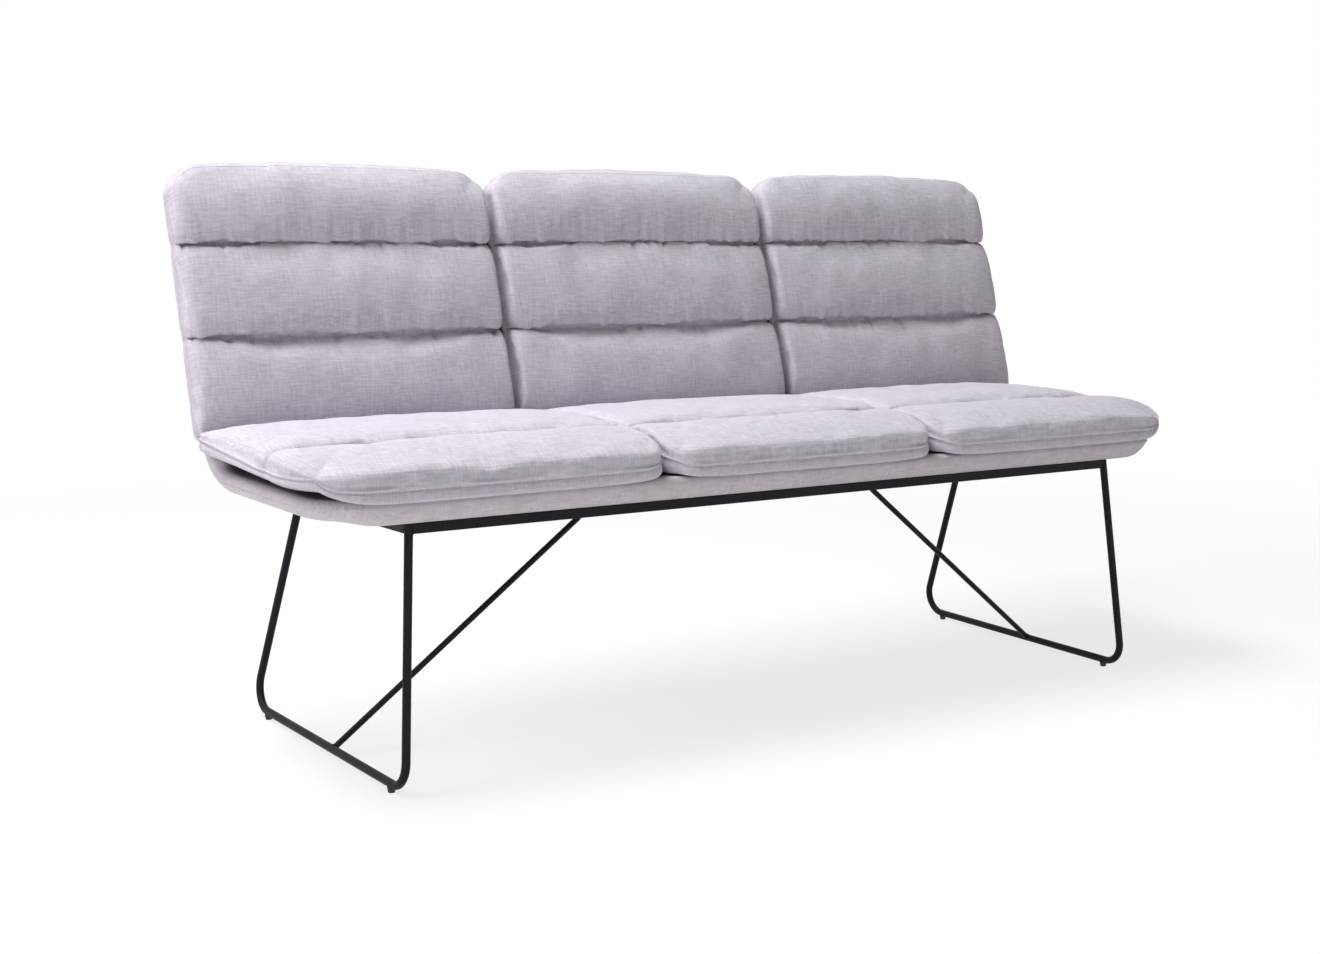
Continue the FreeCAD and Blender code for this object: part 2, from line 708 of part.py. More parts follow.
def seat_form():
    """Bend: distance from the front edge to the shell's inner corner, falling towards the back."""
    length = SHELL_SEAT_DEPTH + SEAT_PAD_OVERHANG - SEAT_PAD_STOP
    return {"length": length, "channels": (SEAT_CHANNEL,), "end_bow": SEAT_FRONT_BOW,
            "middle": SEAT_MIDDLE, "side": SEAT_SIDE,
            "bend": (SHELL_SEAT_DEPTH + SEAT_PAD_OVERHANG, -1)}


def back_form():
    """Bend: distance from the lower edge to the shell's inner corner, growing upwards."""
    length = SHELL_BACK_LENGTH - BACK_PAD_RISE + BACK_PAD_OVERTOP
    return {"length": length, "channels": BACK_CHANNELS, "end_bow": BACK_END_BOW,
            "middle": BACK_MIDDLE, "side": BACK_SIDE, "bend": (BACK_PAD_RISE, 1)}


def pad_width():
    return (OVERALL_WIDTH - (PAD_COUNT - 1) * PAD_GAP) / PAD_COUNT


def shifted(shape, x):
    moved = shape.copy()
    moved.translate(Vector(x, 0, 0))
    return moved


def outer_seat_pad():
    """Width of an outer seat pad, and the distance of its middle from the bench's middle."""
    width = (seat_width() - SEAT_MIDDLE_WIDTH) / 2 - PAD_GAP
    return width, (seat_width() - width) / 2


def seat_pads():
    """Left, middle and right seat pad; the outer two have one wide round corner each."""
    frame = seat_placement(STRIP_THICKNESS)
    outer_width, outer_x = outer_seat_pad()
    right_corners = (SEAT_INNER_CORNER, SEAT_OUTER_CORNER, SEAT_REAR_CORNER, SEAT_REAR_CORNER)
    middle_corners = (SEAT_INNER_CORNER, SEAT_INNER_CORNER, SEAT_REAR_CORNER, SEAT_REAR_CORNER)
    right = [shifted(shape, outer_x) for shape in pad(seat_form(), outer_width, right_corners)]
    middle = pad(seat_form(), SEAT_MIDDLE_WIDTH, middle_corners)
    left = [mirrored(shape) for shape in right]
    nodes = {}
    for place, (cover, foam) in (("left", left), ("middle", middle), ("right", right)):
        nodes[place + "_seat_pad_cover"] = placed(cover, frame)
        nodes[place + "_seat_pad_foam"] = placed(foam, frame)
    return nodes


def back_pads():
    width = pad_width()
    frame = back_placement(STRIP_THICKNESS)
    corners = (BACK_LOWER_CORNER, BACK_LOWER_CORNER, BACK_TOP_CORNER, BACK_TOP_CORNER)
    cover, foam = pad(back_form(), width, corners)
    nodes = {}
    for place, step in (("left", -1), ("middle", 0), ("right", 1)):
        x = step * (width + PAD_GAP)
        nodes[place + "_back_pad_cover"] = placed(shifted(cover, x), frame)
        nodes[place + "_back_pad_foam"] = placed(shifted(foam, x), frame)
    return nodes


def touch_strips(placement, rows, pitch):
    """Fastener strips between a row of pads and the shell, two under each pad."""
    strips = []
    for x in (-pitch, 0.0, pitch):
        for y in rows:
            corner = Vector(x - STRIP_LENGTH / 2, y - STRIP_WIDTH / 2, 0)
            strips.append(Part.makeBox(STRIP_LENGTH, STRIP_WIDTH, STRIP_THICKNESS, corner))
    return placed(Part.makeCompound(strips), placement)


def build():
    right_bar = sled_bar()
    left_bar = mirrored(right_bar)
    nodes = {"right_sled_leg": right_bar, "left_sled_leg": left_bar}
    nodes.update(deck_rails((right_bar, left_bar)))
    nodes["right_cross_bar"] = cross_bar()
    nodes["left_cross_bar"] = mirrored(nodes["right_cross_bar"])
    nodes["right_brace"] = brace(right_bar)
    nodes["left_brace"] = mirrored(nodes["right_brace"])
    for name, point in zip(("front", "rear"), glide_points()):
        nodes["right_" + name + "_glide"] = glide(point, right_bar)
        nodes["left_" + name + "_glide"] = mirrored(nodes["right_" + name + "_glide"])
    nodes["mounting_tabs"] = mounting_tabs()
    nodes["frame_bolts"] = at_bolts(bolt())
    nodes["bolt_washers"] = at_bolts(washer())
    nodes["tee_nuts"] = at_bolts(tee_nut())
    nodes.update(shell_layers())
    nodes.update(seat_pads())
    nodes.update(back_pads())
    nodes["seat_touch_strips"] = touch_strips(seat_placement(0.0), SEAT_STRIP_ROWS, outer_seat_pad()[1])
    nodes["back_touch_strips"] = touch_strips(back_placement(0.0), BACK_STRIP_ROWS, pad_width() + PAD_GAP)
    return nodes


def export(nodes):
    """Centre the bench front to back on the origin, then write one file for each node."""
    box = Part.makeCompound(list(nodes.values())).optimalBoundingBox(False, False)
    middle = (box.YMin + box.YMax) / 2
    os.makedirs("parts", exist_ok=True)
    for name, shape in sorted(nodes.items()):
        moved = shape.copy()
        moved.translate(Vector(0, -middle, 0))
        moved.exportStep("parts/" + name + ".step")
        print(name, len(moved.Solids), moved.isValid(), round(moved.Volume / 1000, 1), "cm3")
    size = [round(length, 1) for length in (box.XLength, box.YLength, box.ZLength)]
    print("size", *size, "shift", round(-middle, 3))


export(build())
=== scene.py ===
import math

import bpy
import numpy as np
from mathutils import Matrix, Vector


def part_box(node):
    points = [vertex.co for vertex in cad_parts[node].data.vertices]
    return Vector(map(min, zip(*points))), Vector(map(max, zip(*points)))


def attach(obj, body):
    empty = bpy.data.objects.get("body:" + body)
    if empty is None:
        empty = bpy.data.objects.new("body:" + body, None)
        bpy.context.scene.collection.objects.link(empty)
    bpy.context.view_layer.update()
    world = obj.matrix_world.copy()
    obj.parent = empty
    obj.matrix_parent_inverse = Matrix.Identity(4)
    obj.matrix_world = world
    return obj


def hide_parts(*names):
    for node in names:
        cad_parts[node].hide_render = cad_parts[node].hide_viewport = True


# Three-seat dining banquette: six channelled pads and a padded shell on a steel sled frame.
# Metres. X runs along the bench, -Y is the sitter's side, Z = 0 is the floor.

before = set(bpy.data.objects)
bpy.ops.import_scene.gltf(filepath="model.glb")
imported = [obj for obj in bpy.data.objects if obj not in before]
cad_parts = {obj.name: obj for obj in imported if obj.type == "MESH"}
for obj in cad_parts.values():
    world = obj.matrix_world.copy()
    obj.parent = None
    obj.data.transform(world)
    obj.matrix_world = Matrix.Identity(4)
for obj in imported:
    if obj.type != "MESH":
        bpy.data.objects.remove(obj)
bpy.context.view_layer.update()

# Seat and back planes
SEAT_TILT = 0.5                 # degrees, the seat falls towards the back
BACK_RECLINE = 17.2             # degrees from upright
SHELL_THICKNESS = 0.035
SHELL_SEAT_DEPTH = 0.443        # front edge to the inner corner
SHELL_BACK_LENGTH = 0.420       # inner corner to the top edge
SHELL_FRONT_OVERHANG = 0.031    # front edge ahead of the front rail
SHELL_BEND_RADIUS = 0.085       # inner face
SHELL_FRONT_CORNER = 0.105
SHELL_TOP_CORNER = 0.060
SHELL_UNDER_ROUND = 0.027       # rim rounding on the outer face
SHELL_TOP_ROUND = 0.009         # rim rounding on the inner face
SHELL_END_RISE = 0.0068         # the underside lifts this far at the bench's ends
SHELL_END_SPAN = (0.040, 0.086) # between these distances from an end it comes down to the frame
SHELL_SHADE_MARGIN = (0.013, 0.026)  # painted shade on the shell's inner face under the pads starts between these distances from its rim
# painted shade on a pad's underside starts between these distances from its outline
PAD_SHADE_MARGIN = (0.050, 0.060)
STRIP_THICKNESS = 0.002         # touch-fastener strips under the pads

# Pads. Heights are above the fastener strips. Bottom, seam and channel: at a pad's middle, at the bench's end,
# and at a side next to another pad. The pairs give the first and the last edge.
# Full: height of each segment at its first end, middle and last end, were it not drawn down there.
# Edges: distance over which each end of a segment rolls up to that height. Side roll: the same for the sides, next
# to another pad and at the bench's end. End fall: how far a segment's crown has settled at the bench's left and
# right end. Lap: how far the segments after and before a channel lean over it. Gathers: depth and reach of the folds
# at the channels. End gaps: how far the row stops short of the CAD pads at the bench's left and right end.
SEAT_PAD = {
    "length": 0.437, "channels": (0.148,), "rows": (24, 34), "start": -0.013, "bend": (0.456, -1),
    "corners": (0.100, 0.042, 0.014, 0.014), "end_bow": (0.006, 0.006), "pinch": 0.003, "droop": 0.0075,
    "bottom": ((0.0, 0.0), (0.015, 0.033), (0.001, 0.004)),
    "seam": ((0.016, 0.057), (0.032, 0.052), (0.022, 0.056)), "channel": (0.047, 0.033, 0.045),
    "full": ((0.033, 0.057, 0.064), (0.066, 0.068, 0.064)), "edges": ((0.018, 0.040), (0.036, 0.045)),
    "side_roll": ((0.018, 0.036), (0.030, 0.060)), "end_fall": ((0.002, 0.011), (0.003, 0.026)),
    "bulge": (0.006, 0.026), "lap": (0.004, 0.006), "pleat_side": 1, "gathers": (0.0060, 0.024),
    "side_gathers": 0.0007, "drift": 0.0006, "pressure": 0.45, "ironed": 0.6, "limit": 0.008, "fill": 0.8,
    "end_gaps": (-0.006, 0.001), "side_gap": -0.0009,
}
BACK_PAD = {
    "length": 0.437, "channels": (0.161, 0.308), "rows": (22, 20, 18), "start": 0.033, "bend": (0.033, 1),
    "corners": (0.020, 0.020, 0.050, 0.050), "end_bow": (0.005, 0.010), "pinch": 0.002, "droop": 0.0,
    "bottom": ((0.0, 0.0), (0.004, 0.004), (0.004, 0.004)),
    "seam": ((0.028, 0.025), (0.019, 0.017), (0.013, 0.013)), "channel": (0.027, 0.020, 0.013),
    "full": ((0.040, 0.045, 0.046), (0.046, 0.048, 0.047), (0.047, 0.049, 0.044)),
    "edges": ((0.075, 0.080), (0.060, 0.080), (0.060, 0.095)),
    "side_roll": ((0.022, 0.034),) * 3, "end_fall": ((0.0, 0.0),) * 3,
    "bulge": (0.005, 0.050), "lap": (0.017, 0.004), "pleat_side": -1, "gathers": (0.0062, 0.040),
    "side_gathers": 0.0018, "drift": 0.0008, "pressure": 0.7, "ironed": 0.85, "limit": 0.010, "fill": 0.75,
    "end_gaps": (0.008, 0.006), "side_gap": 0.0018,
}
LAP_REACH = 0.060               # distance over which the segments on both sides lean over their channel
BELLY_SCALE = 6.75              # brings the highest point of a bulge or lap to its amount
PAD_COLUMNS = 112
IRON_REACH = 7                  # columns to each side over which long folds are evened out
EDGE_ROLL = 0.0036              # a pad's top seam lies this far inside its outline
DROOP_REACH = 0.014             # the front edge hangs down this far behind itself
SIDE_RISE_START = 0.55          # share of the half width where the underside starts to lift
END_FALL = (0.4, 1.0)           # shares of the half width over which a crown falls towards the bench's end
SEAM_FALL_POWER = 16            # a front or rear seam turns up only at its corners
SIDE_FALL_POWER = 8             # a high power keeps the crown full until close to the sides
EDGE_ROUNDNESS = 2.8            # power of the roll at seams and channels
CORNER_POWER = 4                # a higher power gives a sharper corner where two rolls meet
PINCH_POWER = 12                # the higher, the closer to the sides a channel draws them in
LAP_POWER = 30                  # the higher, the closer to the sides a lap goes
BEND_LIMIT = 0.95               # share of the bend's radius up to which an underside follows it
REST_GAP = 0.0005               # between a pad's underside and the shell's bend
COLUMN_PULL = 0.35              # how far lattice lines crowd at a pad's sides
ROW_PULL = 0.55                 # and at its seams and channels
# Side band from the top seam down: drop below the seam and outset, then shares of the rest
SEAM_ROLL = ((0.0002, 0.0007), (0.0008, 0.0015), (0.0019, 0.0019), (0.0031, 0.0014), (0.0041, 0.0004),
             (0.0049, -0.0002))
BAND = ((0.12, 0.0010), (0.35, 0.0022), (0.60, 0.0025), (0.82, 0.0018), (0.94, 0.0004))
BAND_FOOT_INSET = 0.0038
PINCH_REACH = 0.013             # the sides are drawn in this far to both sides of a channel
HOLD_EASE = 0.004               # a pad's sides ease into their limit over this distance
CALM_EDGE = 0.020               # folds and unevenness fade this close to a pad's sides
EDGE_FOLD = 0.4                 # share of the folds' depth that stays right at the sides
STUFFING_WAVES = 7
WAVE_LENGTHS = (0.06, 0.16)
WAVE_TURN = 0.6                 # radians
UPRIGHT_WAVES = 0.3             # share of the waves that run the other way
# Folds: how they vary, spacing along channels, ends and sides, shares of the gathers, and the fine puckers' values
FOLD_SCATTER = 0.4              # of the spacing
FOLD_SIZES = (0.25, 1.0)
FOLD_LENGTHS = (0.35, 1.0)
FOLD_WIDTHS = (0.0035, 0.0090)
FOLD_SLANT = 0.22
CHANNEL_FOLD_SPACING = 0.016
END_FOLD_SPACING = 0.024
SIDE_FOLD_SPACING = 0.015
FAR_SIDE_FOLDS = (0.25, 0.7)    # depth and reach across the channel, as shares of the near side's
END_FOLDS = (0.07, 0.7)         # the same at a pad's ends
SIDE_FOLD_REACH = 0.5
PUCKER_DEPTH = 0.0036
PUCKER_REACH = 0.018
PUCKER_SPACING = 0.010
LAP_SWING = 0.12                # share of a lap by which its edge wanders
SWING_WAVES = ((0.13, 1.0), (0.061, 0.8), (0.029, 0.7), (0.017, 0.5))
# Lattice of the shell: distances of its lines from the rim, then where the even lines start
SHELL_EDGE = (0, 0.0006, 0.0018, 0.0036, 0.006, 0.009, 0.0125, 0.017, 0.022, 0.028, 0.036, 0.048, 0.064, 0.084,
              0.106)
SHELL_EVEN_START = 0.13
SHELL_EVEN_LINES = (56, 62)     # across and along
SHELL_RIM_THICKNESS = 0.001

# Stitching, weld ripples and the cloth simulation
STITCH_PITCH = 0.0058
STITCH_LENGTH = 0.0040
STITCH_THICKNESS = 0.0009
WELD_PITCH = 0.0017
WELD_LENGTH = 0.0021
WELD_THICKNESS = 0.0030
STITCH_INSET = (6, 5)           # columns and rows between a pad's top seam and its row of stitches
TOP_STITCH_RAISE = 0.15         # shares of the thickness by which stitches stand above the cloth
BAND_STITCH_RAISE = 0.2
RUN_BODY = (6, 4)               # segments and rings of one stitch or weld ripple
FOOT_WELD_POINTS = 24
HEAD_WELD_POINTS = 20
RAIL_WELD_POINTS = (8, 6)       # down a rail's side and across its underside
WELD_TOP_GAP = 0.001
CLOTH_SEED = 41
CLOTH_FRAMES = 20
CLOTH_OFFSET = 3.0              # metres, each pad is cut from another place of the cloth
CLOTH_SETTINGS = {"quality": 6, "mass": 0.3, "tension_stiffness": 20, "compression_stiffness": 20,
                  "shear_stiffness": 8, "bending_stiffness": 0.6, "shrink_min": -0.006}

# Frame, for its welds. The points lie on the right-hand side.
BAR_RADIUS = 0.006
BAR_TOE = 1.98                  # degrees, the floor bars spread towards the back
BRACE_RADIUS = 0.0045
BRACE_FOOT = (0.6716, -0.0565, 0.0118)
BRACE_BEND = (0.2760, -0.0835, 0.3225)
BRACE_HEAD_HEIGHT = 0.3478
REAR_LEG_RAKE = 22.5            # degrees, leaning forward going up
FRONT_LEG_LEAN = 5.5            # degrees, leaning back going up

# Light and camera
CAMERA_PLACE = (-1.5737, -2.3859, 0.7385)
CAMERA_TURN = (82.247, 0.0, -31.964)
CAMERA_LENS = 48.267
SENSOR_WIDTH = 36.0
CLIP_END = 60.0
FLOOR_REACH = 12.0
WORLD_COLOUR = (1.0, 0.978, 0.975, 1)
WORLD_STRENGTH = 0.27
# Lamps: place, target, size, power in watts and colour
LAMPS = {
    "overhead_softbox": ((-1.2, 0.58, 4.0), (-0.1, 0.0, 0.4), (2.2, 1.2), 158, (0.97, 0.98, 1.0)),
    "left_softbox": ((-3.0, 0.05, 2.3), (-0.3, 0.0, 0.45), (1.3, 1.3), 44, (1.0, 0.99, 1.0)),
    "low_front_softbox": ((-0.5, -2.8, 0.3), (0.0, -0.3, 0.42), (1.6, 0.4), 7, (1.0, 0.98, 0.98)),
}


def srgb(red, green, blue):
    """Linear colour of a display colour given in 0 to 255."""
    def linear(value):
        share = value / 255
        return share / 12.92 if share <= 0.04045 else ((share + 0.055) / 1.055) ** 2.4
    return (linear(red), linear(green), linear(blue), 1.0)


CLOTH_COLOUR = srgb(196, 190, 199)
# the shell's cover: the pads' fabric painted darker, as shade under the pads' overhang
SHELL_SHADED_CLOTH_COLOUR = srgb(190, 183, 188)
THREAD_COLOUR = srgb(196, 191, 199)
COAT_COLOUR = srgb(20, 19, 26)
ZINC_COLOUR = srgb(176, 178, 182)
GLIDE_COLOUR = srgb(30, 30, 33)
WOOD_COLOUR = srgb(198, 164, 118)
STRIP_COLOUR = srgb(58, 58, 62)
# dark colour painted as shade in the gaps under and between the pads
UNDER_PAD_SHADE_COLOUR = srgb(58, 54, 60)
FLOOR_COLOUR = srgb(246, 246, 248)
FLOOR_GLOW = 0.75               # share of the floor's white that no shadow reaches
FLOOR_FADE = (1.2, 3.2)         # distance over which the floor turns into the white background
# Weave: noise scales of the threads both ways and of the patches, the threads' shares, pitch and height
WEFT_SCALE = (40.0, 430.0, 1.0)
WARP_SCALE = (450.0, 34.0, 1.0)
PATCH_SCALE = (11.0, 14.0, 1.0)
WEFT_SHARE = 0.55
WARP_SHARE = 0.45
WEAVE_PITCH = 0.0014
WEAVE_HEIGHT = 0.18
CLOTH_ROUGHNESS = (0.88, -0.25) # middle, and change with the threads' height
GRAIN_SCALE = (1400.0, 1400.0, 1400.0)
TONE_SCALE = (24.0, 24.0, 24.0)
TONE_ROUGHNESS = 0.3            # change of roughness with the tone


# Shader groups shared by the finishes

def new_group(name, inputs, outputs):
    """An empty shader group with named sockets. Returns the tree, its input and its output node."""
    tree = bpy.data.node_groups.new(name, "ShaderNodeTree")
    for label, kind, value in inputs:
        socket = tree.interface.new_socket(label, in_out="INPUT", socket_type=kind)
        if value is not None:
            socket.default_value = value
    for label, kind in outputs:
        tree.interface.new_socket(label, in_out="OUTPUT", socket_type=kind)
    return tree, tree.nodes.new("NodeGroupInput"), tree.nodes.new("NodeGroupOutput")


def math_node(tree, operation, first, second=None):
    """A Math node. Numbers are set on its sockets and other sockets are linked."""
    node = tree.nodes.new("ShaderNodeMath")
    node.operation = operation
    for index, value in enumerate((first, second)):
        if isinstance(value, (int, float)):
            node.inputs[index].default_value = value
        elif value is not None:
            tree.links.new(value, node.inputs[index])
    return node.outputs[0]


def stretched_noise(tree, vector, stretch, detail=2.0, roughness=0.6):
    """Noise on a plane, with its own scale along each direction."""
    scale = tree.nodes.new("ShaderNodeVectorMath")
    scale.operation = "MULTIPLY"
    scale.inputs[1].default_value = stretch
    tree.links.new(vector, scale.inputs[0])
    noise = tree.nodes.new("ShaderNodeTexNoise")
    noise.noise_dimensions = "3D"
    noise.inputs["Scale"].default_value = 1.0
    noise.inputs["Detail"].default_value = detail
    noise.inputs["Roughness"].default_value = roughness
    tree.links.new(scale.outputs[0], noise.inputs["Vector"])
    return noise.outputs["Fac"]


def shaded(tree, colour, shade):
    """A colour made lighter or darker by a value near 1."""
    node = tree.nodes.new("ShaderNodeVectorMath")
    node.operation = "SCALE"
    tree.links.new(colour, node.inputs[0])
    tree.links.new(shade, node.inputs["Scale"])
    return node.outputs[0]


def slub_weave_group():
    """Plain weave with uneven threads both ways, for cloth laid out in metres."""
    tree, source, result = new_group(
        "slub_weave",
        (("Cloth Vector", "NodeSocketVector", None), ("Cloth Color", "NodeSocketColor", CLOTH_COLOUR),
         ("Slub", "NodeSocketFloat", 0.4), ("Mottle", "NodeSocketFloat", 0.1)),
        (("Color", "NodeSocketColor"), ("Roughness", "NodeSocketFloat"), ("Height", "NodeSocketFloat")))
    vector = source.outputs["Cloth Vector"]
    weft = stretched_noise(tree, vector, WEFT_SCALE, 3.0, 0.7)
    warp = stretched_noise(tree, vector, WARP_SCALE, 3.0, 0.7)
    patch = stretched_noise(tree, vector, PATCH_SCALE, 2.0, 0.5)
    threads = math_node(tree, "ADD", math_node(tree, "MULTIPLY", weft, WEFT_SHARE),
                        math_node(tree, "MULTIPLY", warp, WARP_SHARE))
    centred = math_node(tree, "SUBTRACT", threads, 0.5)
    slub = math_node(tree, "MULTIPLY", centred, source.outputs["Slub"])
    mottle = math_node(tree, "MULTIPLY", math_node(tree, "SUBTRACT", patch, 0.5), source.outputs["Mottle"])
    shade = math_node(tree, "ADD", math_node(tree, "ADD", slub, mottle), 1.0)
    tree.links.new(shaded(tree, source.outputs["Cloth Color"], shade), result.inputs["Color"])
    rough = math_node(tree, "ADD", math_node(tree, "MULTIPLY", centred, CLOTH_ROUGHNESS[1]), CLOTH_ROUGHNESS[0])
    tree.links.new(rough, result.inputs["Roughness"])
    parts = tree.nodes.new("ShaderNodeSeparateXYZ")
    tree.links.new(vector, parts.inputs[0])
    turns = 2 * math.pi / WEAVE_PITCH
    across, along = [math_node(tree, "SINE", math_node(tree, "MULTIPLY", parts.outputs[axis], turns)) for axis in "XY"]
    weave = math_node(tree, "MULTIPLY", math_node(tree, "MULTIPLY", across, along), WEAVE_HEIGHT)
    tree.links.new(math_node(tree, "ADD", threads, weave), result.inputs["Height"])
    return tree


def fine_grain_group():
    """Fine even grain with a slow drift of tone, for coats, plastic and plated steel."""
    tree, source, result = new_group(
        "fine_grain",
        (("Vector", "NodeSocketVector", None), ("Base", "NodeSocketColor", COAT_COLOUR),
         ("Spread", "NodeSocketFloat", 0.2), ("Roughness Middle", "NodeSocketFloat", 0.5)),
        (("Color", "NodeSocketColor"), ("Roughness", "NodeSocketFloat"), ("Height", "NodeSocketFloat")))
    vector = source.outputs["Vector"]
    grain = stretched_noise(tree, vector, GRAIN_SCALE, 2.0, 0.5)
    tone = stretched_noise(tree, vector, TONE_SCALE, 3.0, 0.6)
    centred = math_node(tree, "SUBTRACT", tone, 0.5)
    shade = math_node(tree, "ADD", math_node(tree, "MULTIPLY", centred, source.outputs["Spread"]), 1.0)
    tree.links.new(shaded(tree, source.outputs["Base"], shade), result.inputs["Color"])
    rough = math_node(tree, "ADD", math_node(tree, "MULTIPLY", centred, TONE_ROUGHNESS),
                      source.outputs["Roughness Middle"])
    tree.links.new(rough, result.inputs["Roughness"])
    tree.links.new(grain, result.inputs["Height"])
    return tree


def finish(name, group, vector_kind, values, bump, constants, shade_painted=False):
    """A Principled finish that takes colour, roughness and bump from one shader group. Bump: strength and distance.
    The last flag mixes in a dark painted shade colour where a piece's attribute asks for it."""
    material = bpy.data.materials.new(name)
    material.use_nodes = True
    tree = material.node_tree
    shader = next(node for node in tree.nodes if node.type == "BSDF_PRINCIPLED")
    effect = tree.nodes.new("ShaderNodeGroup")
    effect.node_tree = group
    coordinates = tree.nodes.new("ShaderNodeTexCoord")
    tree.links.new(coordinates.outputs[vector_kind], effect.inputs[0])
    for label, value in values.items():
        effect.inputs[label].default_value = value
    colour = effect.outputs["Color"]
    # Painted shade: the dark colour, by the piece's shade attribute
    if shade_painted:
        shade_mask = tree.nodes.new("ShaderNodeAttribute")
        shade_mask.attribute_name = "painted_shade"
        mix = tree.nodes.new("ShaderNodeMixRGB")
        tree.links.new(shade_mask.outputs["Fac"], mix.inputs["Fac"])
        tree.links.new(colour, mix.inputs["Color1"])
        mix.inputs["Color2"].default_value = UNDER_PAD_SHADE_COLOUR
        colour = mix.outputs["Color"]
    tree.links.new(colour, shader.inputs["Base Color"])
    tree.links.new(effect.outputs["Roughness"], shader.inputs["Roughness"])
    relief = tree.nodes.new("ShaderNodeBump")
    relief.inputs["Strength"].default_value = bump[0]
    relief.inputs["Distance"].default_value = bump[1]
    tree.links.new(effect.outputs["Height"], relief.inputs["Height"])
    tree.links.new(relief.outputs["Normal"], shader.inputs["Normal"])
    for label, value in constants.items():
        shader.inputs[label].default_value = value
    return material


CLOTH_BUMP = (0.5, 0.0008)
CLOTH_SHEEN = {"Sheen Weight": 0.12, "Sheen Roughness": 0.5, "Specular IOR Level": 0.25}
# Cloths: name, colour, slub and mottle. Plain finishes: name, colour, spread, roughness, bump and fixed values
CLOTH_FINISHES = {
    "cloth": ("slub_cloth", CLOTH_COLOUR, 1.5, 0.12),
    # the same fabric, darker as painted shade for the shell under the pads
    "shell_shaded_cloth": ("shell_slub_cloth_shaded", SHELL_SHADED_CLOTH_COLOUR, 1.3, 0.14),
}
PLAIN_FINISHES = {
    "thread": ("sewing_thread", THREAD_COLOUR, 0.2, 0.7, (0.2, 0.0002), {"Sheen Weight": 0.1}),
    "coat": ("black_powder_coat", COAT_COLOUR, 0.35, 0.48, (0.15, 0.0002), {"Specular IOR Level": 0.14}),
    "zinc": ("zinc_plate", ZINC_COLOUR, 0.3, 0.32, (0.1, 0.0001), {"Metallic": 1.0}),
    "glide": ("glide_nylon", GLIDE_COLOUR, 0.2, 0.5, (0.15, 0.0002), {}),
    "plywood": ("birch_plywood", WOOD_COLOUR, 0.4, 0.6, (0.2, 0.0004), {}),
    "strip": ("hook_and_loop", STRIP_COLOUR, 0.3, 0.9, (0.8, 0.0010), {}),
}


def make_finishes():
    weave, grain = slub_weave_group(), fine_grain_group()
    finishes = {}
    for key, (name, colour, slub, mottle) in CLOTH_FINISHES.items():
        values = {"Cloth Color": colour, "Slub": slub, "Mottle": mottle}
        finishes[key] = finish(name, weave, "UV", values, CLOTH_BUMP, CLOTH_SHEEN, shade_painted=True)
    for key, (name, colour, spread, rough, bump, fixed) in PLAIN_FINISHES.items():
        values = {"Base": colour, "Spread": spread, "Roughness Middle": rough}
        finishes[key] = finish(name, grain, "Object", values, bump, fixed)
    return finishes


# Lattices for pads and shell

def graded(start, end, steps, pull):
    """Values from start to end that lie closer together near both ends."""
    share = np.linspace(0.0, 1.0, steps + 1)
    share = (1 - pull) * share + pull * (1 - np.cos(np.pi * share)) / 2
    return start + (end - start) * share


def rounded_plan(columns, rows, corners):
    """Plan lattice with its corner squares drawn round: front left, front right, rear left, rear right.

    Gives the plan, the outward direction at each point and its distance inside the outline.
    """
    x, y = np.meshgrid(columns, rows, indexing="ij")
    plan = np.stack([x, y])
    from_side = np.minimum(x - columns[0], columns[-1] - x)
    from_end = np.minimum(y - rows[0], rows[-1] - y)
    nearest = from_side <= from_end
    middle_x, middle_y = (columns[0] + columns[-1]) / 2, (rows[0] + rows[-1]) / 2
    out = np.stack([np.where(nearest, np.sign(x - middle_x), 0.0), np.where(nearest, 0.0, np.sign(y - middle_y))])
    for index, radius in enumerate(corners):
        side, rear = index % 2, index // 2
        corner_x = columns[-1] - radius if side else columns[0] + radius
        corner_y = rows[-1] - radius if rear else rows[0] + radius
        sign_x, sign_y = (1 if side else -1), (1 if rear else -1)
        a, b = sign_x * (x - corner_x) / radius, sign_y * (y - corner_y) / radius
        inside = (a > 0) & (b > 0)
        reach = np.maximum(a, b)
        angle = np.pi / 4 * np.minimum(a, b) / np.where(reach == 0, 1, reach)
        angle = np.where(a >= b, angle, np.pi / 2 - angle)
        turn = np.stack([sign_x * np.cos(angle), sign_y * np.sin(angle)])
        centre = np.array([corner_x, corner_y])[:, None, None]
        plan = np.where(inside, centre + radius * reach * turn, plan)
        out = np.where(inside, turn, out)
    return plan, out, np.minimum(from_side, from_end)


def border(columns, rows, inset=(0, 0)):
    """Indices round a lattice, counter-clockwise seen from above."""
    left, right = inset[0], columns - 1 - inset[0]
    front, rear = inset[1], rows - 1 - inset[1]
    loop = [(i, front) for i in range(left, right + 1)]
    loop += [(right, j) for j in range(front + 1, rear + 1)]
    loop += [(i, rear) for i in range(right - 1, left - 1, -1)]
    loop += [(left, j) for j in range(rear - 1, front, -1)]
    return np.array(loop)


def doubled(grid):
    """The lattice at twice the density, on a smooth curve through its points."""
    for axis in (0, 1):
        lines = np.moveaxis(grid, axis, 0)
        before, after = 2 * lines[:1] - lines[1:2], 2 * lines[-1:] - lines[-2:-1]
        ends = np.concatenate([before, lines, after])
        middle = (9 * (ends[1:-2] + ends[2:-1]) - ends[:-3] - ends[3:]) / 16
        fine = np.empty((2 * len(lines) - 1,) + lines.shape[1:])
        fine[0::2], fine[1::2] = lines, middle
        grid = np.moveaxis(fine, 0, axis)
    return grid


def grid_normals(grid):
    across, along = np.gradient(grid, axis=0), np.gradient(grid, axis=1)
    normal = np.cross(across, along)
    return normal / np.maximum(np.linalg.norm(normal, axis=2, keepdims=True), 1e-9)


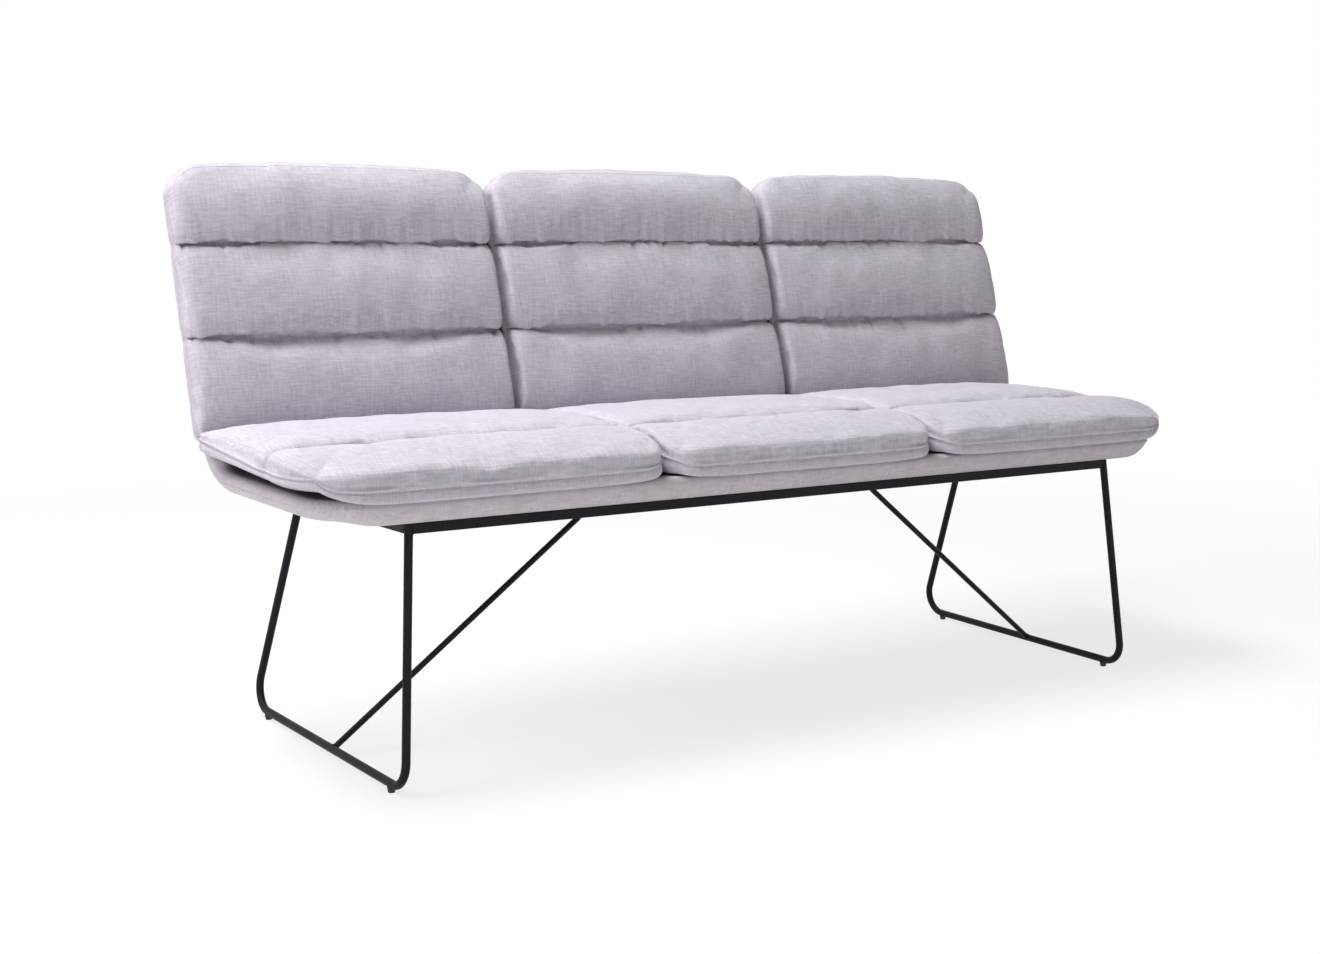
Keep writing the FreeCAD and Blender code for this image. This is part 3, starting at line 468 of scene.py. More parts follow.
def outward(loop_points):
    """Outward directions in plan along a counter-clockwise loop."""
    tangent = np.roll(loop_points, -1, axis=0) - np.roll(loop_points, 1, axis=0)
    normal = np.stack([tangent[:, 1], -tangent[:, 0], np.zeros(len(tangent))], axis=1)
    return normal / np.maximum(np.linalg.norm(normal, axis=1, keepdims=True), 1e-9)


def quads_of(indices, flip):
    a, b, c, d = indices[:-1, :-1], indices[1:, :-1], indices[1:, 1:], indices[:-1, 1:]
    order = (d, c, b, a) if flip else (a, b, c, d)
    return np.stack(order, axis=-1).reshape(-1, 4)


def between_margins(distance, margins):
    """0 up to the first margin and 1 from the second one on."""
    return np.clip((distance - margins[0]) / (margins[1] - margins[0]), 0, 1)


def closed_skin(name, top, walls, bottom, cloth_uv, finish_used, painted_shade):
    """One closed mesh: upper lattice, rows of side wall, lower lattice, with a cloth map in metres.
    The last argument: how far each point of the upper and the lower lattice gets the painted shade, 0 to 1."""
    columns, rows = top.shape[:2]
    loop = border(columns, rows)
    count = len(loop)
    size = columns * rows
    upper = np.arange(size).reshape(columns, rows)
    lower = upper + size
    bands = [upper[loop[:, 0], loop[:, 1]]]
    bands += [2 * size + row * count + np.arange(count) for row in range(len(walls))]
    bands.append(lower[loop[:, 0], loop[:, 1]])
    points = np.concatenate([top.reshape(-1, 3), bottom.reshape(-1, 3)] + [wall.reshape(-1, 3) for wall in walls])
    around = np.stack(bands, axis=0)
    around = np.concatenate([around, around[:, :1]], axis=1)
    faces = np.concatenate([quads_of(upper, False), quads_of(lower, True), quads_of(around, False)])
    # Cloth map: the plan on both lattices, the way round and the way down on the wall
    plan = cloth_uv.reshape(-1, 2)
    ring = points[around]
    step = np.linalg.norm(np.diff(ring[0], axis=0), axis=1)
    way_round = np.concatenate([[0.0], np.cumsum(step)])
    way_down = np.concatenate([[0.0], np.cumsum(np.linalg.norm(np.diff(ring, axis=0), axis=2).mean(axis=1))])
    wall_uv = np.stack(np.meshgrid(way_round, way_down), axis=-1)
    corners = (wall_uv[:-1, :-1], wall_uv[1:, :-1], wall_uv[1:, 1:], wall_uv[:-1, 1:])
    wall_map = np.stack(corners, axis=2).reshape(-1, 2)
    lattice_map = plan[np.concatenate([quads_of(upper, False), quads_of(upper, True)]).reshape(-1)]
    mesh = bpy.data.meshes.new(name)
    mesh.from_pydata(points.tolist(), [], faces.tolist())
    layer = mesh.uv_layers.new(name="cloth")
    layer.data.foreach_set("uv", np.concatenate([lattice_map, wall_map]).astype(np.float32).ravel())
    cover = np.zeros(len(points), dtype=np.float32)
    cover[:size], cover[size:2 * size] = painted_shade[0].ravel(), painted_shade[1].ravel()
    mesh.attributes.new("painted_shade", "FLOAT", "POINT").data.foreach_set("value", cover)
    mesh.polygons.foreach_set("use_smooth", [True] * len(mesh.polygons))
    mesh.materials.append(finish_used)
    mesh.validate()
    piece = bpy.data.objects.new(name, mesh)
    bpy.context.scene.collection.objects.link(piece)
    return piece


# Planes that the pads and the shell lie on

def deck_origin():
    """Middle of the front rail's top face."""
    low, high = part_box("front_rail")
    return Vector((0.0, (low[1] + high[1]) / 2, high[2]))


def seat_turn():
    return Matrix.Rotation(math.radians(-SEAT_TILT), 4, "X")


def back_turn():
    return Matrix.Rotation(math.radians(90 - BACK_RECLINE), 4, "X")


def shell_front():
    return deck_origin() + seat_turn() @ Vector((0, -SHELL_FRONT_OVERHANG, SHELL_THICKNESS))


def shell_corner():
    return shell_front() + seat_turn() @ Vector((0, SHELL_SEAT_DEPTH, 0))


def seat_place():
    place = shell_front() + seat_turn() @ Vector((0, SEAT_PAD["start"], STRIP_THICKNESS))
    return Matrix.Translation(place) @ seat_turn()


def back_place():
    place = shell_corner() + back_turn() @ Vector((0, BACK_PAD["start"], STRIP_THICKNESS))
    return Matrix.Translation(place) @ back_turn()


def bend_angle():
    return math.radians(90 - BACK_RECLINE + SEAT_TILT)


def bend_reach():
    return SHELL_BEND_RADIUS * math.tan(bend_angle() / 2)


def carried(points, place):
    """Points of a local lattice in the frame."""
    matrix = np.array(place)
    return points @ matrix[:3, :3].T + matrix[:3, 3]


# Pads

def between(pair, share):
    return pair[0] + (pair[1] - pair[0]) * share


def towards_side(heights, weight, at_end):
    """A height that goes over from a pad's middle to the bench's end or to the next pad."""
    middle, end, next_pad = heights
    return middle + (between((next_pad, end), at_end) - middle) * weight


def pad_floor(form, share, along, at_end):
    """Underside of a pad, lifted towards its sides and over the shell's bend."""
    lift = np.clip((share - SIDE_RISE_START) / (1 - SIDE_RISE_START), 0, 1) ** 2
    first, last = [towards_side(heights, lift, at_end) for heights in zip(*form["bottom"])]
    plane = first + (last - first) * along / form["length"]
    origin, direction = form["bend"]
    into = np.clip(bend_reach() - (origin + direction * along), 0, SHELL_BEND_RADIUS * BEND_LIMIT)
    rise = SHELL_BEND_RADIUS - np.sqrt(SHELL_BEND_RADIUS ** 2 - into ** 2)
    hang = form["droop"] * np.clip(1 - along / DROOP_REACH, 0, 1) * (1 - share ** SIDE_FALL_POWER)
    return np.maximum(plane, rise - STRIP_THICKNESS + REST_GAP) - hang


def edge_rise(distance, reach):
    """Share of the full height that a panel has at a distance inside a seam or channel."""
    return (1 - np.clip(1 - distance / reach, 0, 1) ** EDGE_ROUNDNESS) ** 0.5


def belly(distance, amount, reach):
    """How far a panel hangs out over the seam that it starts from, easing off to nothing. At most the amount."""
    way = np.clip(distance / reach, 0, 1)
    return amount * BELLY_SCALE * way * (1 - way) ** 2


def arched(heights, way):
    """Smooth height through a segment's first end, middle and last end."""
    first, middle, last = heights
    return first * (1 - way) * (1 - 2 * way) + 4 * middle * way * (1 - way) + last * way * (2 * way - 1)


def round_corner(side, end):
    """Rise from a side, changed so that with the rise from an end it falls once at the corner that they share."""
    side, end = np.maximum(side, 1e-3), np.maximum(end, 1e-3)
    return (side ** -CORNER_POWER + end ** -CORNER_POWER - 1) ** (-1 / CORNER_POWER) / end


def pad_crown(form, half, share, along, at_end, right):
    """Top of a pad: a full arch over each segment, drawn down at the channels, seams and sides.
    Right marks the points of the pad's right half."""
    fall = share ** SIDE_FALL_POWER
    seams = [towards_side(heights, share ** SEAM_FALL_POWER, at_end) for heights in zip(*form["seam"])]
    channel = towards_side(form["channel"], fall, at_end)
    marks = (EDGE_ROLL,) + form["channels"] + (form["length"] - EDGE_ROLL,)
    levels = [seams[0]] + [channel] * len(form["channels"]) + [seams[1]]
    height = np.zeros_like(along)
    for index in range(len(marks) - 1):
        first, last = marks[index], marks[index + 1]
        inside = (along >= first - 1e-9) & (along <= last + 1e-9)
        way = np.clip((along - first) / (last - first), 0, 1)
        low_end, high_end = levels[index], levels[index + 1]
        level = low_end + (high_end - low_end) * way
        side = edge_rise((1 - share) * half, between(form["side_roll"][index], at_end))
        first_rise, last_rise = [edge_rise(reach, roll) for reach, roll
                                 in zip((along - first, last - along), form["edges"][index])]
        if index == 0:
            side = round_corner(side, first_rise)
        if index == len(marks) - 2:
            side = round_corner(side, last_rise)
        end_fall = np.where(right, *form["end_fall"][index][::-1]) * at_end * between_margins(share, END_FALL) ** 2
        full = level + (arched(form["full"][index], way) - end_fall - level) * side
        drawn = full - (full - low_end) * (1 - first_rise) - (full - high_end) * (1 - last_rise)
        height = np.where(inside, drawn, height)
    return height


def pad_lattice(form, width, corners, ends):
    """Starting shape of a pad's top panel: plan with pinched sides and bowed ends, and its crown."""
    half = width / 2 - EDGE_ROLL
    first, last = EDGE_ROLL, form["length"] - EDGE_ROLL
    columns = graded(-half, half, PAD_COLUMNS, COLUMN_PULL)
    marks = (first,) + form["channels"] + (last,)
    rows = np.concatenate([graded(a, b, steps, ROW_PULL)[(1 if k else 0):]
                           for k, (a, b, steps) in enumerate(zip(marks, marks[1:], form["rows"]))])
    (x, y), out, inside = rounded_plan(columns, rows, [radius - EDGE_ROLL for radius in corners])
    flat_x, flat_y = np.meshgrid(columns, rows, indexing="ij")
    share = np.abs(flat_x) / half
    pinch = sum(np.exp(-((flat_y - channel) / PINCH_REACH) ** 2) for channel in form["channels"])
    x = x * (1 - form["pinch"] / half * pinch * share ** PINCH_POWER)
    middle = form["length"] / 2
    bow = between(form["end_bow"], flat_y / form["length"])
    y = y + bow * share ** 2 * (middle - flat_y) / middle
    bulge = belly(inside, *form["bulge"])
    x, y = x + out[0] * bulge, y + out[1] * bulge
    after, before = form["lap"]
    for channel in form["channels"]:
        lean = belly(channel - flat_y, before, LAP_REACH) - belly(flat_y - channel, after, LAP_REACH)
        y = y + lean * (1 - share ** LAP_POWER)
    z = pad_crown(form, half, share, flat_y, np.where(flat_x < 0, *ends), flat_x > 0)
    return np.stack([x, y, z], axis=-1), flat_x, flat_y


def channel_rows(form):
    """Rows of the starting lattice that are sewn down as channels."""
    return [int(step) for step in np.cumsum(form["rows"])[:-1]]


def ironed(shift, amount):
    """Evens out the long folds that run up a pad, but not its sewn sides."""
    columns = len(shift)
    weights = np.hanning(2 * IRON_REACH + 3)[1:-1]
    padded = np.pad(shift, ((IRON_REACH, IRON_REACH), (0, 0), (0, 0)), mode="edge")
    even = sum(weight * padded[first:first + columns] for first, weight in enumerate(weights / weights.sum()))
    inwards = np.minimum(np.arange(columns), np.arange(columns)[::-1]) / IRON_REACH
    return shift + (even - shift) * (amount * np.clip(inwards, 0, 1))[:, None, None]


def stuffed(name, grid, form):
    """The top panel blown up by its stuffing: cloth held at its seams and channels."""
    columns, rows = grid.shape[:2]
    indices = np.arange(columns * rows).reshape(columns, rows)
    mesh = bpy.data.meshes.new(name + "_stuffing")
    mesh.from_pydata(grid.reshape(-1, 3).tolist(), [], quads_of(indices, False).tolist())
    panel = bpy.data.objects.new(name + "_stuffing", mesh)
    bpy.context.scene.collection.objects.link(panel)
    sewn = set(indices[0]) | set(indices[-1]) | set(indices[:, 0]) | set(indices[:, -1])
    for row in channel_rows(form):
        sewn |= set(indices[:, row])
    panel.vertex_groups.new(name="sewn").add([int(i) for i in sewn], 1.0, "REPLACE")
    cloth = panel.modifiers.new("stuffing", "CLOTH")
    settings = cloth.settings
    for label, value in CLOTH_SETTINGS.items():
        setattr(settings, label, value)
    settings.vertex_group_mass = "sewn"
    settings.use_pressure = True
    settings.uniform_pressure_force = form["pressure"]
    settings.effector_weights.gravity = 0
    cloth.collision_settings.use_collision = False
    scene = bpy.context.scene
    for number in range(1, CLOTH_FRAMES + 1):
        scene.frame_set(number)
    shape = panel.evaluated_get(bpy.context.evaluated_depsgraph_get()).data
    moved = np.empty(len(shape.vertices) * 3)
    shape.vertices.foreach_get("co", moved)
    scene.frame_set(1)
    bpy.data.objects.remove(panel)
    bpy.data.meshes.remove(mesh)
    shift = ironed(moved.reshape(grid.shape) - grid, form["ironed"])
    length = np.linalg.norm(shift, axis=2, keepdims=True)
    return grid + shift * form["limit"] * np.tanh(length / form["limit"]) / np.maximum(length, 1e-9)


def pleats(rng, flat_x, flat_y, lines, depth, reach, spacing):
    """Depth of the short folds that run off sewn lines. A line is (row, side, first x, last x)."""
    fold = np.zeros_like(flat_x)
    for row, side, first, last in lines:
        count = int((last - first) / spacing)
        for place in np.linspace(first, last, count) + rng.normal(0, spacing * FOLD_SCATTER, count):
            size = rng.uniform(*FOLD_SIZES) ** 3
            length = reach * rng.uniform(*FOLD_LENGTHS) * (0.5 + 0.8 * size)
            width = rng.uniform(*FOLD_WIDTHS)
            slant = rng.normal(0, FOLD_SLANT)
            way = (flat_y - row) * side
            off = flat_x - place - slant * way
            fade = np.clip(1 - way / length, 0, 1) ** 1.5 * (way >= 0)
            spread = width * (0.6 + 0.9 * np.clip(way / length, 0, 1))
            fold += depth * size * fade * np.exp(-(off / spread) ** 2)
    return fold


def drift(rng, flat_x, flat_y, waves, height):
    """Slow unevenness of the stuffing."""
    total = np.zeros_like(flat_x)
    for _ in range(waves):
        length = rng.uniform(*WAVE_LENGTHS)
        angle = rng.uniform(-WAVE_TURN, WAVE_TURN) + (np.pi / 2 if rng.random() < UPRIGHT_WAVES else 0)
        phase = rng.uniform(0, 2 * np.pi)
        total += np.sin((flat_x * np.cos(angle) + flat_y * np.sin(angle)) * 2 * np.pi / length + phase)
    return height * total / math.sqrt(waves)


def dressed(form, rng, grid, flat_x, flat_y, share):
    """Pleats at the channels and seams, uneven stuffing, and segments that sag over the channels."""
    half, front, rear = flat_x.max(), flat_y.min(), flat_y.max()
    depth, reach = form["gathers"]
    near, far = [[(channel, side, -half, half) for channel in form["channels"]]
                 for side in (form["pleat_side"], -form["pleat_side"])]
    ends = [(front, 1, -half, half), (rear, -1, -half, half)]
    sides = [(-half, 1, front, rear), (half, -1, front, rear)]
    fold = pleats(rng, flat_x, flat_y, near, depth, reach, CHANNEL_FOLD_SPACING)
    fold += pleats(rng, flat_x, flat_y, far, depth * FAR_SIDE_FOLDS[0], reach * FAR_SIDE_FOLDS[1],
                   CHANNEL_FOLD_SPACING)
    fold += pleats(rng, flat_x, flat_y, near, PUCKER_DEPTH, PUCKER_REACH, PUCKER_SPACING)
    fold += pleats(rng, flat_x, flat_y, ends, depth * END_FOLDS[0], reach * END_FOLDS[1], END_FOLD_SPACING)
    fold += pleats(rng, flat_y, flat_x, sides, form["side_gathers"], reach * SIDE_FOLD_REACH, SIDE_FOLD_SPACING)
    edge = np.clip((1 - share) * half / CALM_EDGE, 0, 1)
    uneven = drift(rng, flat_x, flat_y, STUFFING_WAVES, form["drift"]) * edge
    grid = grid + grid_normals(grid) * (uneven - fold * np.clip(edge + EDGE_FOLD, 0, 1))[..., None]
    after, before = form["lap"]
    for channel in form["channels"]:
        for way, lap in ((flat_y - channel, -after), (channel - flat_y, before)):
            swing = sum(np.sin(flat_x * 2 * np.pi / length + rng.uniform(0, 6)) * size for length, size in SWING_WAVES)
            grid[..., 1] += belly(way, lap * LAP_SWING, LAP_REACH) * swing * edge
    return grid


def held_in(values, limit):
    """Keeps a pad's sides inside a limit, easing them in over the last millimetres."""
    start = limit - HOLD_EASE
    over = np.maximum(np.abs(values) - start, 0)
    return np.sign(values) * (np.minimum(np.abs(values), start) + HOLD_EASE * np.tanh(over / HOLD_EASE))


def pad_piece(name, form, width, corners, ends, place, finishes, seed):
    """A whole pad as one closed skin, and its rows of stitching. Ends: 1 for a side at the bench's end, else 0."""
    rng = np.random.default_rng(seed)
    grid, flat_x, flat_y = pad_lattice(form, width, corners, ends)
    grid = stuffed(name, grid, form)
    grid = doubled(grid)
    flat_x, flat_y = doubled(flat_x[..., None])[..., 0], doubled(flat_y[..., None])[..., 0]
    share = np.abs(flat_x) / flat_x.max()
    grid = dressed(form, rng, grid, flat_x, flat_y, share)
    grid[..., 0] = held_in(grid[..., 0], width / 2 - form["side_gap"])
    columns, rows = grid.shape[:2]
    loop = border(columns, rows)
    rim = grid[loop[:, 0], loop[:, 1]]
    out = outward(rim)
    floor = pad_floor(form, share, flat_y, np.where(flat_x < 0, *ends))
    inner = np.stack([grid[..., 0], grid[..., 1], floor], axis=-1)
    centre = np.array([0.0, form["length"] / 2])
    reach = np.array([width / 2, form["length"] / 2])
    inner[..., :2] = centre + (inner[..., :2] - centre) * (1 - BAND_FOOT_INSET / reach)
    foot = inner[loop[:, 0], loop[:, 1], 2]
    walls = [rim + out * outset - np.array([0, 0, drop]) for drop, outset in SEAM_ROLL]
    rest = rim[:, 2] - SEAM_ROLL[-1][0] - foot
    for way, outset in BAND:
        row = rim + out * outset
        row[:, 2] = foot + rest * (1 - way)
        walls.append(row)
    cloth_uv = np.stack([flat_x, flat_y], axis=-1) + rng.uniform(-CLOTH_OFFSET, CLOTH_OFFSET, 2)
    # Distance inside the outline, for the painted shade on the pad's underside
    inside = np.minimum(flat_x.max() - np.abs(flat_x), np.minimum(flat_y - flat_y.min(), flat_y.max() - flat_y))
    piece = closed_skin(name, carried(grid, place), [carried(wall, place) for wall in walls],
                        carried(inner, place), cloth_uv, finishes["cloth"],
                        (np.zeros_like(flat_x), between_margins(inside, PAD_SHADE_MARGIN)))
    inset = border(columns, rows, STITCH_INSET)
    over = grid + grid_normals(grid) * STITCH_THICKNESS * TOP_STITCH_RAISE
    top_line = carried(over[inset[:, 0], inset[:, 1]], place)
    band_line = carried(walls[len(SEAM_ROLL)] + out * STITCH_THICKNESS * BAND_STITCH_RAISE, place)
    return piece, [top_line, band_line]


# Geometry nodes for what follows a line

def run_tree(name):
    """Small rounded bodies at an even pitch along lines: stitches, or the ripples of a weld."""
    tree = bpy.data.node_groups.new(name, "GeometryNodeTree")
    tree.interface.new_socket("Geometry", in_out="INPUT", socket_type="NodeSocketGeometry")
    for label in ("Pitch", "Length", "Thickness"):
        tree.interface.new_socket(label, in_out="INPUT", socket_type="NodeSocketFloat")
    tree.interface.new_socket("Finish", in_out="INPUT", socket_type="NodeSocketMaterial")
    tree.interface.new_socket("Geometry", in_out="OUTPUT", socket_type="NodeSocketGeometry")
    nodes, links = tree.nodes, tree.links
    source, result = nodes.new("NodeGroupInput"), nodes.new("NodeGroupOutput")
    curve = nodes.new("GeometryNodeMeshToCurve")
    links.new(source.outputs["Geometry"], curve.inputs[0])
    points = nodes.new("GeometryNodeCurveToPoints")
    points.mode = "LENGTH"
    links.new(curve.outputs[0], points.inputs["Curve"])
    links.new(source.outputs["Pitch"], points.inputs["Length"])
    body = nodes.new("GeometryNodeMeshUVSphere")
    body.inputs["Segments"].default_value, body.inputs["Rings"].default_value = RUN_BODY
    body.inputs["Radius"].default_value = 0.5
    size = nodes.new("ShaderNodeCombineXYZ")
    links.new(source.outputs["Thickness"], size.inputs["X"])
    links.new(source.outputs["Thickness"], size.inputs["Y"])
    links.new(source.outputs["Length"], size.inputs["Z"])
    placed = nodes.new("GeometryNodeInstanceOnPoints")
    links.new(points.outputs["Points"], placed.inputs["Points"])
    links.new(body.outputs["Mesh"], placed.inputs["Instance"])
    links.new(points.outputs["Rotation"], placed.inputs["Rotation"])
    links.new(size.outputs[0], placed.inputs["Scale"])
    real = nodes.new("GeometryNodeRealizeInstances")
    links.new(placed.outputs[0], real.inputs[0])
    smooth = nodes.new("GeometryNodeSetShadeSmooth")
    links.new(real.outputs[0], smooth.inputs[0])
    finish_node = nodes.new("GeometryNodeSetMaterial")
    links.new(smooth.outputs[0], finish_node.inputs["Geometry"])
    links.new(source.outputs["Finish"], finish_node.inputs["Material"])
    links.new(finish_node.outputs[0], result.inputs[0])
    return tree


def set_inputs(modifier, values):
    for item in modifier.node_group.interface.items_tree:
        if item.item_type == "SOCKET" and item.in_out == "INPUT" and item.name in values:
            modifier[item.identifier] = values[item.name]


def run_piece(name, tree, lines, values, closed):
    """A plain mesh of the bodies along closed or open lines of points."""
    mesh = bpy.data.meshes.new(name + "_lines")
    points, edges = [], []
    for line in lines:
        start, count = len(points), len(line)
        points += [tuple(point) for point in line]
        edges += [(start + k, start + k + 1) for k in range(count - 1)]
        if closed:
            edges.append((start + count - 1, start))
    mesh.from_pydata(points, edges, [])
    piece = bpy.data.objects.new(name, mesh)
    bpy.context.scene.collection.objects.link(piece)
    modifier = piece.modifiers.new("run", "NODES")
    modifier.node_group = tree
    set_inputs(modifier, values)
    evaluated = piece.evaluated_get(bpy.context.evaluated_depsgraph_get())
    solid = bpy.data.meshes.new_from_object(evaluated)
    piece.modifiers.remove(modifier)
    piece.data = solid
    solid.name = name
    bpy.data.meshes.remove(mesh)
    return piece


# Welds

def brace_foot_weld():
    """The curve in which a brace meets its floor bar."""
    along_bar = Vector((math.tan(math.radians(BAR_TOE)), 1, 0)).normalized()
    along_brace = (Vector(BRACE_BEND) - Vector(BRACE_FOOT)).normalized()
    first = (along_bar - along_bar.dot(along_brace) * along_brace).normalized()
    second = along_brace.cross(first)
    off_bar = (along_brace - along_brace.dot(along_bar) * along_bar).normalized()
    points = []
    for angle in np.linspace(0, 2 * math.pi, FOOT_WELD_POINTS, endpoint=False):
        a, b = BRACE_RADIUS * math.cos(angle), BRACE_RADIUS * math.sin(angle)
        reach = (math.sqrt(BAR_RADIUS ** 2 - b ** 2) - a * first.dot(off_bar)) / along_brace.dot(off_bar)
        points.append(Vector(BRACE_FOOT) + reach * along_brace + a * first + b * second)
    return points


def brace_head_weld():
    """The ring in which a brace meets the cross bar above it."""
    turn = np.linspace(0, 2 * math.pi, HEAD_WELD_POINTS, endpoint=False)
    return [Vector((BRACE_BEND[0] + BRACE_RADIUS * math.cos(a), BRACE_BEND[1] + BRACE_RADIUS * math.sin(a),
                    BRACE_HEAD_HEIGHT)) for a in turn]


def rail_end_weld(rail, lean):
    """The line down one side of a rail's end, under it and up the other side, against the leg."""
    low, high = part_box(rail)
    depth, middle = (high[1] - low[1]) / 2, (low[1] + high[1]) / 2
    leg_x = high[0] + math.sqrt(max(BAR_RADIUS ** 2 - depth ** 2, 0))
    heights = np.linspace(high[2] - WELD_TOP_GAP, low[2], RAIL_WELD_POINTS[0])
    across = np.linspace(-depth, depth, RAIL_WELD_POINTS[1])[1:-1]
    path = [(-depth, z) for z in heights] + [(y, low[2]) for y in across] + [(depth, z) for z in heights[::-1]]
    points = []
    for y, z in path:
        leg_y = (z - (low[2] + high[2]) / 2) * math.tan(math.radians(lean))
        reach = math.sqrt(max(BAR_RADIUS ** 2 - (y - leg_y) ** 2, 0))
        points.append(Vector((leg_x - reach, middle + y, z)))
    return points


def both_sides(lines):
    return lines + [[Vector((-p.x, p.y, p.z)) for p in line] for line in lines]


def add_welds(finishes):
    ripples = run_tree("weld_run")
    bead = {"Pitch": WELD_PITCH, "Length": WELD_LENGTH, "Thickness": WELD_THICKNESS, "Finish": finishes["coat"]}
    rings = both_sides([brace_foot_weld(), brace_head_weld()])
    ends = both_sides([rail_end_weld("front_rail", FRONT_LEG_LEAN), rail_end_weld("rear_rail", -REAR_LEG_RAKE)])
    for name, lines, closed in (("brace_welds", rings, True), ("rail_end_welds", ends, False)):
        piece = run_piece(name, ripples, lines, bead, closed)
        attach(piece, "root")


# Shell

def shell_path(way, depth):
    """Point of the shell's section: way along the inner face from the front edge, depth below that face."""
    straight = SHELL_SEAT_DEPTH - bend_reach()
    turn = SHELL_BEND_RADIUS * bend_angle()
    angle = np.clip((way - straight) / SHELL_BEND_RADIUS, 0, bend_angle())
    along = np.minimum(way, straight) + SHELL_BEND_RADIUS * np.sin(angle)
    rise = SHELL_BEND_RADIUS * (1 - np.cos(angle))
    past = np.maximum(way - straight - turn, 0)
    along = along + past * math.cos(bend_angle())
    rise = rise + past * math.sin(bend_angle())
    return along + depth * np.sin(angle), rise - depth * np.cos(angle)


def rim_distance(x, way, half, length):
    """Distance inwards from the shell's outline in its developed plan."""
    radius = np.where(way < length / 2, SHELL_FRONT_CORNER, SHELL_TOP_CORNER)
    a = np.abs(x) - (half - radius)
    b = np.abs(way - length / 2) - (length / 2 - radius)
    outside = np.hypot(np.maximum(a, 0), np.maximum(b, 0))
    return radius - outside - np.minimum(np.maximum(a, b), 0)


def round_over(distance, radius):
    """How far a rim rounding draws a face back at a distance from the outline."""
    into = np.clip(1 - distance / radius, 0, 1)
    return radius * (1 - np.sqrt(1 - into ** 2))


def shell_piece(finishes):
    low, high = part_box("shell_outer_cover")
    half = (high[0] - low[0]) / 2
    length = SHELL_SEAT_DEPTH + SHELL_BACK_LENGTH - 2 * bend_reach() + SHELL_BEND_RADIUS * bend_angle()
    edge = np.array(SHELL_EDGE)
    inner_x = np.linspace(-half + SHELL_EVEN_START, half - SHELL_EVEN_START, SHELL_EVEN_LINES[0])
    columns = np.concatenate([-half + edge, inner_x, (half - edge)[::-1]])
    inner_way = np.linspace(SHELL_EVEN_START, length - SHELL_EVEN_START, SHELL_EVEN_LINES[1])
    rows = np.concatenate([edge, inner_way, (length - edge)[::-1]])
    corners = (SHELL_FRONT_CORNER, SHELL_FRONT_CORNER, SHELL_TOP_CORNER, SHELL_TOP_CORNER)
    (x, way), _, _ = rounded_plan(columns, rows, corners)
    distance = np.maximum(rim_distance(x, way, half, length), 0)
    way_in = between_margins(half - np.abs(x), SHELL_END_SPAN)
    boat = SHELL_END_RISE * (1 - way_in ** 2 * (3 - 2 * way_in))
    inner_depth = round_over(distance, SHELL_TOP_ROUND)
    outer_depth = SHELL_THICKNESS - round_over(distance, SHELL_UNDER_ROUND) - boat
    outer_depth = np.maximum(outer_depth, inner_depth + SHELL_RIM_THICKNESS)

    def sheet(depth):
        along, rise = shell_path(way, depth)
        return np.stack([x, along, rise], axis=-1)

    place = Matrix.Translation(shell_front()) @ seat_turn()
    cloth_uv = np.stack([x, way], axis=-1)
    # Painted shade on the inner face under the pads, away from the rim
    painted_shade = (between_margins(distance, SHELL_SHADE_MARGIN), np.zeros_like(x))
    return closed_skin("padded_shell", carried(sheet(inner_depth), place), [], carried(sheet(outer_depth), place),
                       cloth_uv, finishes["shell_shaded_cloth"], painted_shade)


# Stage

def add_lamp(name, place, target, size, power, colour):
    data = bpy.data.lights.new(name, "AREA")
    data.shape = "RECTANGLE"
    data.size, data.size_y = size
    data.energy = power
    data.color = colour
    lamp = bpy.data.objects.new(name, data)
    lamp.location = place
    direction = Vector(target) - Vector(place)
    lamp.rotation_euler = direction.to_track_quat("-Z", "Y").to_euler()
    bpy.context.scene.collection.objects.link(lamp)


def white_for_camera(tree, shader, strength):
    """Adds white for the rays that show the background, so that the lit shadow stays faint on it."""
    nodes, links = tree.nodes, tree.links
    path = nodes.new("ShaderNodeLightPath")
    seen = math_node(tree, "MAXIMUM", path.outputs["Is Camera Ray"], path.outputs["Is Glossy Ray"])
    seen = math_node(tree, "MAXIMUM", seen, path.outputs["Is Transmission Ray"])
    glow = nodes.new("ShaderNodeBackground" if shader.type == "BACKGROUND" else "ShaderNodeEmission")
    glow.inputs["Strength"].default_value = strength
    glow.inputs["Color"].default_value = (1, 1, 1, 1)
    mix = nodes.new("ShaderNodeMixShader")
    links.new(seen, mix.inputs[0])
    links.new(shader.outputs[0], mix.inputs[1])
    return mix, glow


